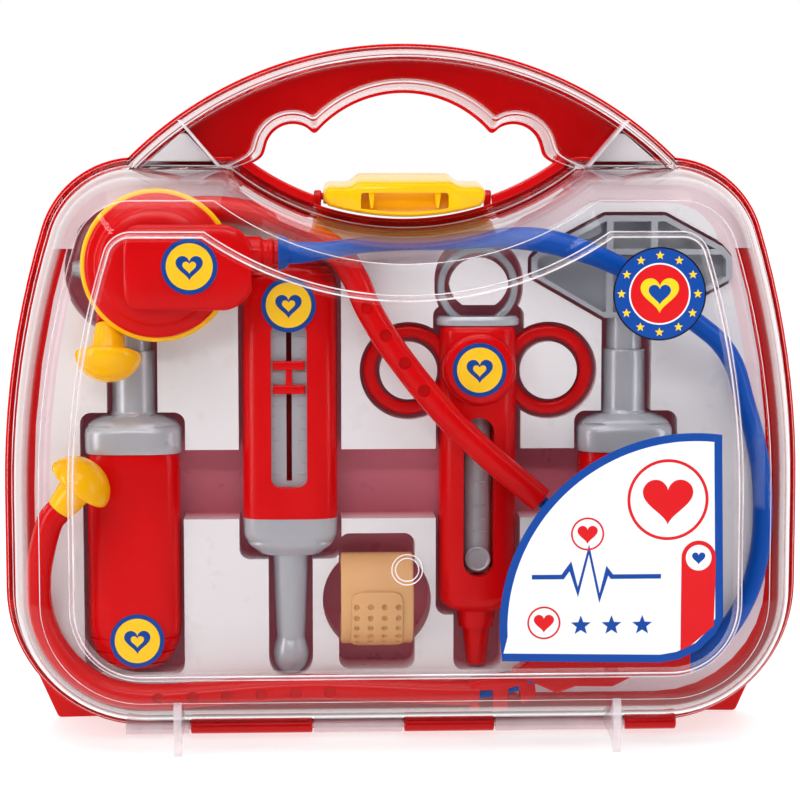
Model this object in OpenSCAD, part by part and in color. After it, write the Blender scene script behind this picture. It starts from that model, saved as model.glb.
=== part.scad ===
// Toy doctor case, standing on its feet with the handle up.
// X runs along the hinge, Y runs from the lid to the back and Z is up.
// The two shells meet on the plane y = 0, and the origin is under the middle of the case.

/* [Case] */
// Width of the case across its flanges
case_w = 266; // [264:1:276]
// Height of the lower edge of the flanges above the table
base_z = 4.4; // [4.2:0.1:5]
// Radius of the lower corners
corner_r = 47; // [42:1:52]
// Height where the sides begin to lean in
side_z = 85; // [80:1:90]
// Radius of the long curve of the sides
side_r = 290; // [270:5:330]
// Lean of the sides where the shoulders begin, in degrees
side_lean = 17.5; // [16:0.5:18.5]
// Radius of the shoulders
shoulder_r = 33; // [31:1:34]
// Depth of the clear lid in front of the joint
lid_d = 34; // [34:0.5:40]
// Depth of the red shell behind the joint
back_d = 34; // [32:0.5:40]
// Wall of both shells
wall = 1.8; // [1.6:0.1:2.2]
// Width of the flange where the shells meet
flange_w = 3.6; // [3.4:0.1:4]
// Thickness of each flange
flange_t = 3.2; // [2.8:0.1:3.6]
// How far the lid's edge stays inside the red edge
lid_lip = 0.9; // [0.6:0.1:1.2]
// Distance of the lid's crease from its edge
crease_in = 24; // [23:0.5:25]

/* [Handle] */
// Radius of the handle's outer arc
handle_r = 129.1; // [126:0.5:132]
// Height of the centre of that arc
handle_cz = 103.4; // [102:0.2:105]
// Radius of the dipped rim under the handle hole
rim_r = 89.6; // [86:0.5:94]
// Height of the rim's lowest point
rim_z = 174.9; // [174:0.1:176]
// Radius of the large finger arch
grip_r = 38.3; // [37:0.1:39]
// Height of that arch's centre
grip_cz = 178; // [177:0.2:179]
// Radius of the small finger arches
lobe_r = 15.4; // [14.6:0.1:16]
// Distance of the small arches from the middle
lobe_x = 38; // [37.5:0.1:38.5]
// Height of the small arches' centres
lobe_z = 191.3; // [190.6:0.1:192]
// Depth of each half of the handle
handle_d = 11; // [10:0.5:13]

/* [Hinge] */
// Radius of the hinge knuckles
knuckle_r = 2.6; // [2.4:0.1:2.8]
// Radius of the hinge pin
pin_r = 1.2; // [1:0.05:1.4]
// Play between the pin and its bores
pin_play = 0.06; // [0.04:0.01:0.1]
// Gap between neighbouring knuckles
knuckle_gap = 0.5; // [0.4:0.1:1]
// Height of the hinge axis
hinge_z = 4; // [3.6:0.1:4.2]

/* [Latch] */
// Width of the latch
latch_w = 53; // [46:1:54]
// Gap between the latch and the rim below it
latch_gap = 0.8; // [0.6:0.1:1.2]
// How far the latch reaches in front of the joint
latch_front = 12; // [10:0.5:12.5]
// Height of the latch's pin
latch_pin_z = 182.3; // [182:0.1:183]
// Distance of the latch's pin behind the joint
latch_pin_y = 7; // [6:0.5:8]
// Radius of the latch's pin
latch_pin_r = 1.2; // [1:0.05:1.4]

/* [Tray] */
// Sheet of the formed tray
tray_t = 1; // [0.8:0.1:1.2]
// Distance of the tray's edge from the case's edge
tray_in = 9.6; // [9:0.2:10]
// Clearance between a tool and its pocket
tray_gap = 1.2; // [1:0.1:1.6]
// Depth of the tray's raised face in front of the joint
tray_front = 2.3; // [1.5:0.1:2.4]

/* [Hand tools] */
// Half width of the otoscope and hammer grips
grip_hw = 15.5; // [14:0.5:16]
// Half depth of those grips
grip_hd = 10.5; // [9.5:0.5:11]
// Length of those grips, without the collar
grip_len = 73.7; // [70:0.5:74]
// Height of the collar on the grips
collar_h = 12.4; // [10:0.2:14]
// Radius of the tool shafts
shaft_r = 7.2; // [6:0.2:7.4]
// Middle of the otoscope, to the side
oto_x = -90.2; // [-91:0.2:-90]
// Middle of the hammer, to the side
ham_x = 74.6; // [74:0.2:76]
// Width of the hammer head
ham_head_w = 67; // [62:1:68]
// Height of the hammer head
ham_head_h = 34; // [30:1:35]
// Depth of the hammer head
ham_head_d = 18; // [14:1:19]

/* [Thermometer] */
// Middle of the thermometer, to the side
thermo_x = -37.9; // [-38.4:0.1:-37]
// Half width of its body
thermo_hw = 15.9; // [15:0.1:16]
// Length of its red body
thermo_len = 86.8; // [84:0.2:87]
// Width of its window
window_w = 12; // [11:0.5:13]
// Length of its window
window_len = 54.7; // [50:0.5:56]
// Radius of the bulb at its end
bulb_r = 6.2; // [5.6:0.1:6.4]

/* [Syringe] */
// Middle of the syringe, to the side
syr_x = 25; // [24.6:0.1:25.6]
// Half width of its barrel
syr_hw = 13; // [12.4:0.1:13.2]
// Length of its barrel
syr_len = 93.5; // [91:0.5:94]
// Outer radius of its finger rings
finger_r = 15.1; // [14.4:0.1:15.2]
// Bore radius of its finger rings
finger_bore = 10.8; // [10:0.1:11.2]
// Radius of the plunger rod
rod_r = 4.7; // [4:0.1:5]
// Play between the plunger rod and the barrel
rod_play = 0.1; // [0.06:0.02:0.2]
// Outer radius of the pull ring
ring_r = 13.6; // [13:0.1:13.8]
// Bore radius of the pull ring
ring_bore = 11.1; // [10:0.1:11.4]

/* [Stethoscope] */
// Radius of the yellow rim of the chest piece
chest_r = 24.9; // [23.5:0.1:25]
// Half thickness of the two ear arms
arm_r = 4.4; // [4:0.1:4.5]
// Radius of the blue tube
tube_r = 2.7; // [2.4:0.1:2.8]
// Radius of the ear tips
ear_r = 11; // [10:0.2:11.2]

/* [Plaster cuff] */
// Width of the cuff
cuff_w = 24.3; // [22:0.5:25]
// Thickness of the cuff's strap
cuff_t = 2.2; // [1.8:0.1:2.6]

/* [Hidden] */
$fn = 48;

hw = case_w / 2;
// The contents keep their places across the case when its width changes
modelled_w = 266;
wide = case_w / modelled_w;
oto_cx = oto_x * wide;
ham_cx = ham_x * wide;
thermo_cx = thermo_x * wide;
syr_cx = syr_x * wide;
side_cx = hw - side_r;
shoulder_cx = side_cx + (side_r - shoulder_r) * cos(side_lean);
shoulder_cz = side_z + (side_r - shoulder_r) * sin(side_lean);
top_z = shoulder_cz + shoulder_r;
rim_cz = rim_z + rim_r;
// Points on each arc of half an outline
corner_n = 8;
side_n = 4;
shoulder_n = 7;
rim_n = 6;

// Ends of the hinge knuckles along the hinge, with the lid's knuckles first
knuckle_ends = [for (x = [-94, -72, -30.5, 0, 31, 75, 93]) x * wide];
tray_back = 2.2;
// Half width of the gap in the tray's shelf under the dipped rim
shelf_gap = 50;
// Clearance of parts that rest on each other without being joined
seat = 0.3;
tool_y = 3;
// The floor of the pockets, just behind the collars of the grips
pocket_y = tool_y + grip_hd + 0.4 + seat;
trough_z = 76;
trough_h = 21;

function arc(cx, cz, r, a0, a1, n) =
  [for (i = [0:n]) let (a = a0 + (a1 - a0) * i / n) [cx + r * cos(a), cz + r * sin(a)]];
function rest(list, from = 1) = [for (i = [from:len(list) - 1]) list[i]];
function across(list) = [for (p = list) concat([p[0] * wide], rest(p))];
function flip(list) = [for (i = [len(list) - 1:-1:0]) [-list[i][0], list[i][1]]];

// Right half of the case's outline drawn in by i, from the bottom to the dip under the handle
function rim_corner(i) = sqrt(pow(rim_r + i, 2) - pow(rim_cz - top_z + i, 2));
function half_outline(i) = concat(
  arc(hw - corner_r, base_z + corner_r, corner_r - i, -90, 0, corner_n),
  arc(side_cx, side_z, side_r - i, 0, side_lean, side_n),
  rest(arc(shoulder_cx, shoulder_cz, shoulder_r - i, side_lean, 90, shoulder_n)),
  arc(0, rim_cz, rim_r + i, -acos(rim_corner(i) / (rim_r + i)), -90, rim_n));
function outline(i) = let (half = half_outline(i), n = len(half))
  concat([[0, base_z + i]], half, rest(flip(half)));
function ring(i, y) = [for (p = outline(i)) [p[0], y, p[1]]];

// Closed body through rings of points, each ring as long as the others
module loft(rings) {
  n = len(rings[0]);
  m = len(rings);
  first = concat([0], [for (k = [n - 1:-1:1]) k]);
  last = [for (k = [0:n - 1]) (m - 1) * n + k];
  sides = [for (j = [0:m - 2], k = [0:n - 1]) let (a = j * n + k, b = j * n + (k + 1) % n)
    each [[a, b, b + n], [a, b + n, a + n]]];
  polyhedron(points = [for (r = rings) each r], faces = concat([first], sides, [last]));
}

// Flat shape drawn from the front, given depth from y0 to y1
module slab(y0, y1) translate([0, y1, 0]) rotate([90, 0, 0]) linear_extrude(y1 - y0) children();

// Rounded bar along Z through sections of [height, half width, half depth, squareness]
function oval(s, n) = [for (k = [0:n - 1]) let (a = -360 * k / n, e = 2 / s[3])
  [s[1] * sign(cos(a)) * pow(abs(cos(a)), e), s[2] * sign(sin(a)) * pow(abs(sin(a)), e), s[0]]];
module bar(sections, n = 28) loft([for (s = sections) oval(s, n)]);

// Round rod along a route of points, each followed by its radius
function unit(v) = v / norm(v);
function place(route, i) = [route[i][0], route[i][1], route[i][2]];
function along(route, i) = unit(place(route, min(i + 1, len(route) - 1)) - place(route, max(i - 1, 0)));
module rod(route, n = 10) loft([for (i = [0:len(route) - 1])
  let (t = along(route, i), u = unit(cross(t, [0, 1, 0])), v = cross(u, t))
  [for (k = [0:n - 1]) let (a = 360 * k / n) place(route, i) + route[i][3] * (cos(a) * u + sin(a) * v)]]);

// Hinge
module knuckles(which, r, extra = 0)
  for (k = [which:2:len(knuckle_ends) - 2]) let (a = knuckle_ends[k], b = knuckle_ends[k + 1])
    translate([a + knuckle_gap / 2 - extra, 0, hinge_z]) rotate([0, 90, 0])
      cylinder(r = r, h = b - a - knuckle_gap + 2 * extra);
module hinge_bore() translate([knuckle_ends[0] - 1, 0, hinge_z]) rotate([0, 90, 0])
  cylinder(r = pin_r + pin_play, h = knuckle_ends[len(knuckle_ends) - 1] - knuckle_ends[0] + 2);

// Handle, seen from the front
module hole(g) offset(r = g) intersection() {
  translate([0, rim_cz]) circle(rim_r);
  union() {
    translate([0, grip_cz]) circle(grip_r);
    for (s = [-1, 1]) translate([s * lobe_x, lobe_z]) circle(lobe_r);
  }
}
module handle_area(i, g) difference() {
  intersection() {
    translate([0, handle_cz]) circle(handle_r - i, $fn = 96);
    translate([-hw, top_z - flange_w]) square([case_w, handle_r]);
  }
  hole(g);
}
// Wall that closes the grip off from the case, one at each foot of the handle
module grip_ends(t) for (s = [-1, 1]) mirror([s < 0 ? 1 : 0, 0])
  polygon([[73, 207.2], [73 + t, 207.2], [60 + t, 192], [60, 192]]);
module handle_half(lip) {
  slab(0, flange_t) difference() {
    handle_area(lip, lip);
    handle_area(flange_w + lip, wall + lip);
  }
  slab(flange_t, handle_d) difference() {
    handle_area(lip + 1.6, lip + 0.4);
    handle_area(lip + 1.6 + wall, lip + 0.4 + wall);
  }
  slab(handle_d - wall, handle_d) handle_area(lip + 1.6, lip + 0.4);
  slab(0, handle_d) intersection() {
    handle_area(lip + 2, lip + 1);
    grip_ends(wall);
  }
}
// Opening from the case into the cell at each foot of the handle
module cells(lip) for (s = [-1, 1]) slab(-0.1, handle_d - wall)
  translate([s * 75 - 11, top_z - lip - 9]) square([22, 7 + lip]);

// Shells
function shell_rings(lip, outer, inner) = concat(
  [for (k = [len(inner) - 1:-1:0]) ring(inner[k][0] + lip, inner[k][1])],
  [for (p = outer) ring(p[0] + lip, p[1])]);

lid_outer = [[0, 0], [0, 2.2], [1.8, flange_t], [4, 14], [7, 22], [13, 27.4], [crease_in - 1.6, lid_d - 3.4],
  [crease_in, lid_d - 2.2], [crease_in + 1.4, lid_d]];
lid_inner = [[flange_w, 0], [flange_w, flange_t], [4 + wall - 0.2, 14], [7 + wall, 21.2],
  [13.6 + wall * 0.6, 25.9], [crease_in, lid_d - 4.4], [crease_in + 1.6, lid_d - wall]];
back_outer = [[0, 0], [0, 2.2], [1.8, flange_t], [3.6, 14], [5.4, 25], [8, back_d - 2.4], [11, back_d]];
back_inner = [[flange_w, 0], [flange_w, flange_t], [3.6 + wall, 14], [5.4 + wall, 24.6],
  [8 + wall, back_d - 2.4 - wall], [11.6 + wall, back_d - wall]];

gate_z = 61.9;
module lid_foot(s) translate([s * (hw - 61) - 1.3, 0, 0]) rotate([90, 0, 90]) linear_extrude(2.6)
  polygon([[-1, 6], [-13, 9.4], [-21, 13], [-26.4, 18.5], [-28.4, 16], [-28.4, 2], [-27.6, 0.5], [-26.4, 0],
    [-25.2, 0.5], [-22.5, 3.4], [-1, 5]]);

module front_lid() color([0.85, 0.92, 0.95, 0.35]) difference() {
  union() {
    mirror([0, 1, 0]) difference() {
      union() {
        loft(shell_rings(lid_lip, lid_outer, lid_inner));
        handle_half(lid_lip);
      }
      cells(lid_lip);
    }
    knuckles(0, knuckle_r);
    for (s = [-1, 1]) lid_foot(s);
    // Ring left by the mould's gate
    translate([0, 0.5 - lid_d, gate_z]) rotate([90, 0, 0]) difference() {
      cylinder(r = 5.4, h = 0.8);
      translate([0, 0, -1]) cylinder(r = 3.6, h = 3);
    }
  }
  hinge_bore();
  knuckles(1, knuckle_r + 0.4, 0.01);
}

module back_foot(s) slab(back_d - 2.4, back_d) mirror([s < 0 ? 1 : 0, 0])
  polygon([[hw - 53, 0], [hw - 13.5, 0], [hw - 2, 26], [hw - 0.6, 42], [hw - 16, 62], [hw - 40, 20],
    [hw - 53, 12]]);

module back_shell() color("firebrick") difference() {
  union() {
    difference() {
      union() {
        loft(shell_rings(0, back_outer, back_inner));
        handle_half(0);
      }
      cells(0);
    }
    slab(tray_back + tray_t, tray_back + tray_t + wall) difference() {
      polygon(outline(flange_w - 0.6));
      polygon(outline(tray_in + 3.4));
      translate([-shelf_gap, rim_z - 30]) square([2 * shelf_gap, 60]);
      pockets(tray_gap + tray_t + seat);
    }
    for (s = [-1, 1]) back_foot(s);
    knuckles(1, knuckle_r);
    for (s = [-1, 1]) translate([s * (latch_w / 2 + 1.9) - 1.4, latch_pin_y, latch_pin_z]) {
      rotate([0, 90, 0]) cylinder(r = 2.6, h = 2.8);
      translate([0, -2.6, -6]) cube([2.8, 5.2, 6]);
    }
  }
  hinge_bore();
  knuckles(0, knuckle_r + 0.4, 0.01);
  translate([-latch_w / 2 - 10, latch_pin_y, latch_pin_z]) rotate([0, 90, 0])
    cylinder(r = latch_pin_r, h = latch_w + 20);
}

module hinge_pin() color("lightgray") translate([knuckle_ends[0] + 0.6, 0, hinge_z]) rotate([0, 90, 0])
  cylinder(r = pin_r, h = knuckle_ends[len(knuckle_ends) - 1] - knuckle_ends[0] - 1.2);

// Latch: heights of its shoulders and of its raised brow, and half the width of the brow
latch_side = latch_pin_z + 0.7;
latch_top = latch_pin_z + 4.1;
brow_top = latch_pin_z + 7.1;
brow_hw = 16.6;
module latch_face() intersection() {
  polygon([[-latch_w / 2, rim_z - 5], [latch_w / 2, rim_z - 5], [latch_w / 2, latch_side],
    [latch_w / 2 - 4.5, latch_top], [brow_hw, latch_top], [brow_hw - 2, brow_top], [2 - brow_hw, brow_top],
    [-brow_hw, latch_top], [-latch_w / 2 + 4.5, latch_top], [-latch_w / 2, latch_side]]);
  translate([0, rim_cz]) circle(rim_r - latch_gap, $fn = 120);
}
module latch() color("gold") difference() {
  union() {
    slab(-latch_front, latch_pin_y) latch_face();
    slab(latch_pin_y - 0.1, latch_pin_y + 4) intersection() {
      latch_face();
      translate([-latch_w / 2, latch_pin_z - 2]) square([latch_w, 20]);
    }
    translate([-latch_w / 2, latch_pin_y, latch_pin_z]) rotate([0, 90, 0]) cylinder(r = 2.6, h = latch_w);
  }
  // Sloping top
  for (c = [[-hw, -brow_hw, latch_top], [2 - brow_hw, brow_hw - 2, brow_top], [brow_hw, hw, latch_top]])
    translate([c[0], -latch_front - 1, c[2] - 2.9]) rotate([7.5, 0, 0]) translate([0, -2, 0])
      cube([c[1] - c[0], 40, 12]);
  // Finger recess under the raised brow, with a rib left on each side
  for (c = [[-14.4, -12.2], [-10.2, 10.2], [12.2, 14.4]])
    translate([c[0], -latch_front - 1, rim_z - 5]) cube([c[1] - c[0], 9, latch_top - 2.8 - rim_z + 5]);
  translate([-hw, latch_pin_y, latch_pin_z]) rotate([0, 90, 0])
    cylinder(r = latch_pin_r + pin_play, h = case_w);
  // Clearance for the rim behind the pin
  translate([-hw, latch_pin_y + 0.1, rim_z - 20]) cube([case_w, 20, latch_pin_z - 2 - rim_z + 20]);
}
module latch_pin() color("lightgray") translate([-latch_w / 2 - 3.2, latch_pin_y, latch_pin_z])
  rotate([0, 90, 0]) cylinder(r = latch_pin_r, h = latch_w + 6.4);

// Grips of the otoscope and the hammer: red body, silver collar and silver shaft
grip_z = 23.5;
collar_z = grip_z + grip_len;
shaft_z = collar_z + collar_h;
shaft_y = tool_y + 1.5;
module grip(x) translate([x, tool_y, grip_z]) bar([
  [0, 5, 4, 2.2], [1.2, 9, 7, 2.4], [4.5, grip_hw - 3.4, grip_hd - 2, 2.6],
  [9, grip_hw - 1, grip_hd - 0.6, 2.8],
  [14, grip_hw, grip_hd, 3], [grip_len - 3, grip_hw, grip_hd, 3], [grip_len, grip_hw - 0.6, grip_hd - 0.4, 3]]);
module collar(x) translate([x, 0, collar_z]) union() {
  translate([0, tool_y, 0]) bar([
    [0, grip_hw + 0.4, grip_hd + 0.2, 3], [1.5, grip_hw + 0.7, grip_hd + 0.4, 3],
    [collar_h - 4.5, grip_hw + 0.7, grip_hd + 0.4, 3], [collar_h - 1.6, grip_hw - 1.6, grip_hd - 1.6, 2.6],
    [collar_h, grip_hw - 5, grip_hd - 3, 2.2]]);
  translate([0, shaft_y, 1]) cylinder(r = shaft_r, h = 33);
}

// Otoscope, whose round head lies behind the chest piece
oto_head_z = 158;
module otoscope_grip() color("firebrick") grip(oto_cx);
module otoscope_collar() color("silver") collar(oto_cx);
module otoscope_head() color("silver") translate([oto_cx, 0, oto_head_z]) union() {
  translate([0, 1, 0]) rotate([-90, 0, 0]) cylinder(r = 12.5, h = 4);
  translate([0, 3, 0]) rotate([-90, 0, 0]) cylinder(r = 15, h = pocket_y - seat - 3);
  translate([0, shaft_y, collar_z + 34 - oto_head_z]) cylinder(r = 6, h = oto_head_z - collar_z - 42);
  translate([-12, tool_y + 4, 0]) rotate([0, -90, 0]) cylinder(r1 = 4.6, r2 = 2.4, h = 8);
}

// Hammer
ham_head_z = 159;
module head_outline(i) let (w = ham_head_w * wide / 2 - i, h = ham_head_h / 2 - i)
  translate([0, ham_head_z]) polygon([
  [-w, -3 + i / 3], [-9 - i / 3, -h], [9 + i / 3, -h], [w, -4 + i / 3], [w, 3 - i / 3], [w - 3, 6.5 - i / 2],
  [11, h], [-9, h], [-w + 3, 5.5 - i / 2], [-w, 3 - i / 3]]);
ham_y = pocket_y - seat - ham_head_d / 2;
module hammer_head() color("silver") translate([ham_cx + 1.4, ham_y, 0]) union() {
  difference() {
    slab(-ham_head_d / 2, ham_head_d / 2) head_outline(0);
    difference() {
      slab(-ham_head_d / 2 - 1, -ham_head_d / 2 + 7) head_outline(2);
      for (x = [-7.4, 7.4]) translate([x - 1.1, -ham_head_d, ham_head_z - 30]) cube([2.2, ham_head_d, 60]);
      translate([-40, -ham_head_d, ham_head_z + 4]) cube([80, ham_head_d, 1.8]);
    }
  }
  translate([-1.4, shaft_y - ham_y, collar_z + 34]) cylinder(r = 6, h = ham_head_z - collar_z - 48);
}
module hammer_grip() color("firebrick") grip(ham_cx);
module hammer_collar() color("silver") collar(ham_cx);

// Thermometer: a window with a scale, a slider that runs in the scale's slit, and a probe
thermo_hd = 10;
thermo_y = pocket_y - seat - thermo_hd;
thermo_z = 75.1;
thermo_top = thermo_z + thermo_len;
window_z = thermo_z + 10.6;
window_x = thermo_cx - 0.3;
slit_w = 1.8;
slit_depth = 9;
scale_y = thermo_y - thermo_hd + 3;
scale_t = 1.4;
slider_z = 122.5;
module thermometer_body() color("firebrick") difference() {
  translate([thermo_cx, thermo_y, thermo_z]) bar([
    [0, thermo_hw, thermo_hd, 3.4], [thermo_len - 8, thermo_hw, thermo_hd, 3.4],
    [thermo_len - 3, thermo_hw - 1.4, thermo_hd - 1.2, 3],
    [thermo_len - 0.8, thermo_hw - 5, thermo_hd - 4, 2.6], [thermo_len, thermo_hw - 9, thermo_hd - 7, 2.2]]);
  translate([window_x - window_w / 2, thermo_y - thermo_hd - 1, window_z])
    cube([window_w, scale_y + scale_t + 0.1 - thermo_y + thermo_hd + 1, window_len]);
  translate([window_x - slit_w / 2 - 0.6, scale_y, window_z + 2])
    cube([slit_w + 1.2, slit_depth, window_len - 4]);
}
module thermometer_scale() color("silver") difference() {
  translate([window_x - window_w / 2 + 0.05, scale_y, window_z + 0.05])
    cube([window_w - 0.1, scale_t, window_len - 0.1]);
  translate([window_x - slit_w / 2, scale_y - 1, window_z + 2]) cube([slit_w, scale_t + 2, window_len - 4]);
}
module thermometer_slider() color("red") union() {
  for (z = [-4, 4]) translate([window_x - window_w / 2 + 0.4, scale_y - 2.6, slider_z + z - 1.6])
    cube([window_w - 0.8, 2.4, 3.2]);
  translate([window_x - 2.2, scale_y - 2.6, slider_z - 4]) cube([4.4, 2, 8]);
  translate([window_x - slit_w / 2 + 0.15, scale_y - 0.7, slider_z - 5]) cube([slit_w - 0.3, scale_t + 4, 10]);
}
module thermometer_tip() color("silver") translate([thermo_cx, thermo_y, 0]) union() {
  translate([0, 0, thermo_z - 12.7]) bar([
    [0, thermo_hw - 6, thermo_hd - 4, 2.4], [2.6, thermo_hw - 2.6, thermo_hd - 1.4, 2.8],
    [6, thermo_hw - 0.3, thermo_hd, 3.2], [12.7, thermo_hw, thermo_hd, 3.4]]);
  translate([0, 0, 30]) cylinder(r1 = 4.5, r2 = 6, h = thermo_z - 41);
  translate([0, 0, 27.9]) sphere(r = bulb_r);
}

// Syringe: the plunger slides in the barrel's bore and its end shows in the window
syr_hd = 10;
syr_y = pocket_y - seat - syr_hd;
syr_z = 45.6;
syr_top = syr_z + syr_len;
ring_z = syr_top + 13.1;
plunger_out = 2.4;
rod_end = 55.6;
finger_z = 124.4;
finger_dx = 23.4;
module syringe_barrel() color("firebrick") difference() {
  union() {
    translate([syr_cx, syr_y, syr_z]) bar([
      [-2.6, syr_hw - 5, syr_hd - 3, 2.6], [-1, syr_hw - 1.6, syr_hd - 1, 2.8], [1.5, syr_hw, syr_hd, 3],
      [syr_len - 1.5, syr_hw, syr_hd, 3], [syr_len, syr_hw - 0.8, syr_hd - 0.8, 3]]);
    translate([syr_cx, syr_y - syr_hd - 1.5, finger_z + 0.6]) rotate([-90, 0, 0]) cylinder(r = 12.1, h = 8);
    for (s = [-1, 1]) translate([syr_cx + s * finger_dx, syr_y, finger_z]) rotate([90, 0, 0])
      difference() {
        cylinder(r = finger_r, h = 6, center = true);
        cylinder(r = finger_bore, h = 8, center = true);
      }
    translate([syr_cx, syr_y, 36.9]) cylinder(r1 = 6, r2 = 6.9, h = 8);
    translate([syr_cx, syr_y, 24.2]) cylinder(r1 = 3.4, r2 = 4.7, h = 13);
  }
  translate([syr_cx, syr_y, rod_end - 1.2]) cylinder(r = rod_r + rod_play, h = syr_len);
  translate([syr_cx, syr_y - 3, rod_end + rod_r]) rotate([90, 0, 0]) cylinder(r = rod_r + 0.4, h = 20);
  translate([syr_cx - rod_r - 0.4, syr_y - 23, rod_end + rod_r]) cube([2 * rod_r + 0.8, 20, 48.3]);
}
module syringe_plunger() color("silver") translate([syr_cx, syr_y, 0]) union() {
  translate([0, 0, rod_end]) cylinder(r = rod_r, h = syr_top - rod_end + 1);
  translate([0, 0, syr_top + 0.3]) bar([[0, 14, 9, 3], [2.4, 14, 9, 3], [3, 13.2, 8.4, 3]]);
  translate([0, 0, ring_z]) rotate([90, 0, 0]) difference() {
    cylinder(r = ring_r, h = 5, center = true);
    cylinder(r = ring_bore, h = 7, center = true);
  }
}

// Plaster cuff: an open sleeve with a dimpled pad in front
cuff_x = -9 * wide;
cuff_z = 47.2;
cuff_hh = 15.4;
cuff_hd = 12.1;
cuff_y = pocket_y - seat - cuff_hd;
function cuff_arc(i, a0, a1, n) = [for (k = [0:n]) let (a = a0 + (a1 - a0) * k / n)
  [cuff_y - (cuff_hd - i) * cos(a), cuff_z + (cuff_hh - i) * sin(a)]];
module cuff_band(i0, i1, a0, a1, w) translate([cuff_x - w / 2, 0, 0]) rotate([90, 0, 90])
  linear_extrude(w)
    polygon(concat(cuff_arc(i0, a0, a1, 24), [for (k = [24:-1:0]) cuff_arc(i1, a0, a1, 24)[k]]));
module plaster_cuff() color("burlywood") difference() {
  union() {
    cuff_band(0, cuff_t, -150, 150, cuff_w);
    cuff_band(-0.9, cuff_t - 0.5, -74, 14, cuff_w - 7);
  }
  for (i = [0:3], j = [0:4]) let (a = -58 + j * 13.6)
    translate([cuff_x - 7 + i * 14 / 3, cuff_y - cuff_hd * cos(a), cuff_z + cuff_hh * sin(a)])
      sphere(r = 1.05);
}

// Stethoscope: the chest piece lies over the otoscope's head
chest_x = -80.7 * wide;
chest_z = 160.2;
chest_back = -15.2;
module chest_rim() color("gold") translate([chest_x, chest_back, chest_z]) rotate([90, 0, 0])
  rotate_extrude()
    polygon([[0, 0], [chest_r - 1, 0], [chest_r, 0.8], [chest_r, 1.8], [chest_r - 0.8, 2.4], [0, 2.4]]);
module chest_bell() color("red") translate([chest_x, chest_back - 2.4, chest_z]) rotate([90, 0, 0])
  rotate_extrude()
    polygon([[0, 0], [23.4, 0], [23.4, 1], [22.6, 2], [19.6, 2.6], [18.8, 4.2], [15.2, 5], [0, 5]]);
// Block on the bell, with the neck that takes the tube
neck_y = chest_back - 4.4;
neck_z = chest_z + 4.2;
neck_end = chest_x + 39.3;
collar_t = 3.4;
module chest_cap() color("red") union() {
  translate([chest_x - 10.1, chest_back - 9.7, chest_z - 0.4]) rotate([0, 90, 0]) bar([
    [0, 9, 1.6, 3], [1, 12.2, 2.1, 3.2], [3.4, 13.8, 2.3, 3.4], [33, 13.8, 2.3, 3.4], [37, 12.2, 2.2, 3.2],
    [39.6, 9.4, 2, 3], [40.8, 7, 1.6, 3]]);
  translate([chest_x + 25.3, neck_y, neck_z]) rotate([0, 90, 0]) cylinder(r = 5.3, h = 8.8);
  translate([chest_x + 33.7, neck_y, neck_z]) rotate([0, 90, 0])
    cylinder(r = 4.2, h = neck_end - chest_x - 33.7);
}
module tube_collar() color("royalblue") translate([neck_end, neck_y, neck_z]) rotate([0, 90, 0])
  cylinder(r1 = 6, r2 = 4.6, h = collar_t);

// Route of the tube from the chest piece over the top and down the right side, with its radius
yoke_y = -12.4;
yoke_end = 95 * wide;
tube_start = neck_end + collar_t + 0.05;
tube_route = concat([[tube_start, neck_y, neck_z, tube_r + 1], [tube_start + 4, neck_y, neck_z, tube_r + 0.8]],
  across([[-27, -18, 164.9, tube_r + 0.2], [-20, -16.3, 165.8, tube_r], [-13, -10.8, 166.6, tube_r],
  [-6, -5.4, 167, tube_r], [2, -3.8, 167.2, tube_r],
  [10, -3.5, 167.2, tube_r], [18, -3.5, 167.6, tube_r], [27, -4, 168.2, tube_r + 0.3],
  [36, -6.5, 168.6, tube_r + 0.9], [45, -11.4, 168, tube_r + 1.3], [55, -13.6, 165.6, tube_r + 1.2],
  [65, -13.8, 162, tube_r + 0.8], [75, -13.6, 157, tube_r + 0.6], [85, -13.4, 150, tube_r + 0.6],
  [95, -13, 141.8, tube_r + 0.6], [104, -11, 134.6, tube_r + 0.6], [110, -8.4, 126, tube_r + 0.6],
  [113.6, -6.6, 115, tube_r + 0.6], [117, -6, 104, tube_r + 0.6], [119.6, -5.9, 92, tube_r + 0.6],
  [120.6, -5.9, 80, tube_r + 0.6], [120.2, -5.9, 66, tube_r + 0.6], [117.6, -5.9, 53, tube_r + 0.6],
  [112.6, -6.6, 42, tube_r + 0.6], [106, -9, 34, tube_r + 0.6], [101, -12, 29.6, tube_r + 0.6]]),
  [[yoke_end + 3, yoke_y - 0.7, 27.8, tube_r + 0.6], [yoke_end + 0.05, yoke_y - 0.7, 27.8, tube_r + 0.6]]);
module steth_tube() color("royalblue") rod(tube_route);

// Yoke that joins the tube to a short branch for each ear arm, mostly behind the label
yoke_back = yoke_y + 3.2;
module steth_yoke() color("red") slab(yoke_y - 4.6, yoke_back) polygon(across([[35.4, 24.6], [45.4, 20],
  [50.5, 17.7], [56.6, 20], [69, 19.8], [75, 22.8], [95, 23.6], [95, 31.6], [70, 33], [46, 33]]));
arm_y = -tray_front - seat - arm_r;
branch_r = 2.2;
left_branch = across([[20, arm_y, 16.2], [27, arm_y, 16.3], [34, arm_y - 0.4, 17.6], [40, arm_y - 1.4, 19.6],
  [45, arm_y - 3, 22.4], [51, arm_y - 5, 25.4]]);
right_branch = across([[42.5, -11.8, 84.4], [50, -12, 77], [57, -12.4, 66], [60.6, -12.6, 54],
  [61, -12.8, 42], [60.4, -13, 31]]);
module branch(route, play = 0) rod([for (p = route) concat(p, [branch_r + play])]);
module left_branch_tube() color("royalblue") difference() {
  branch(left_branch);
  steth_yoke();
}
module right_branch_tube() color("royalblue") difference() {
  branch(right_branch);
  steth_yoke();
}

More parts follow.
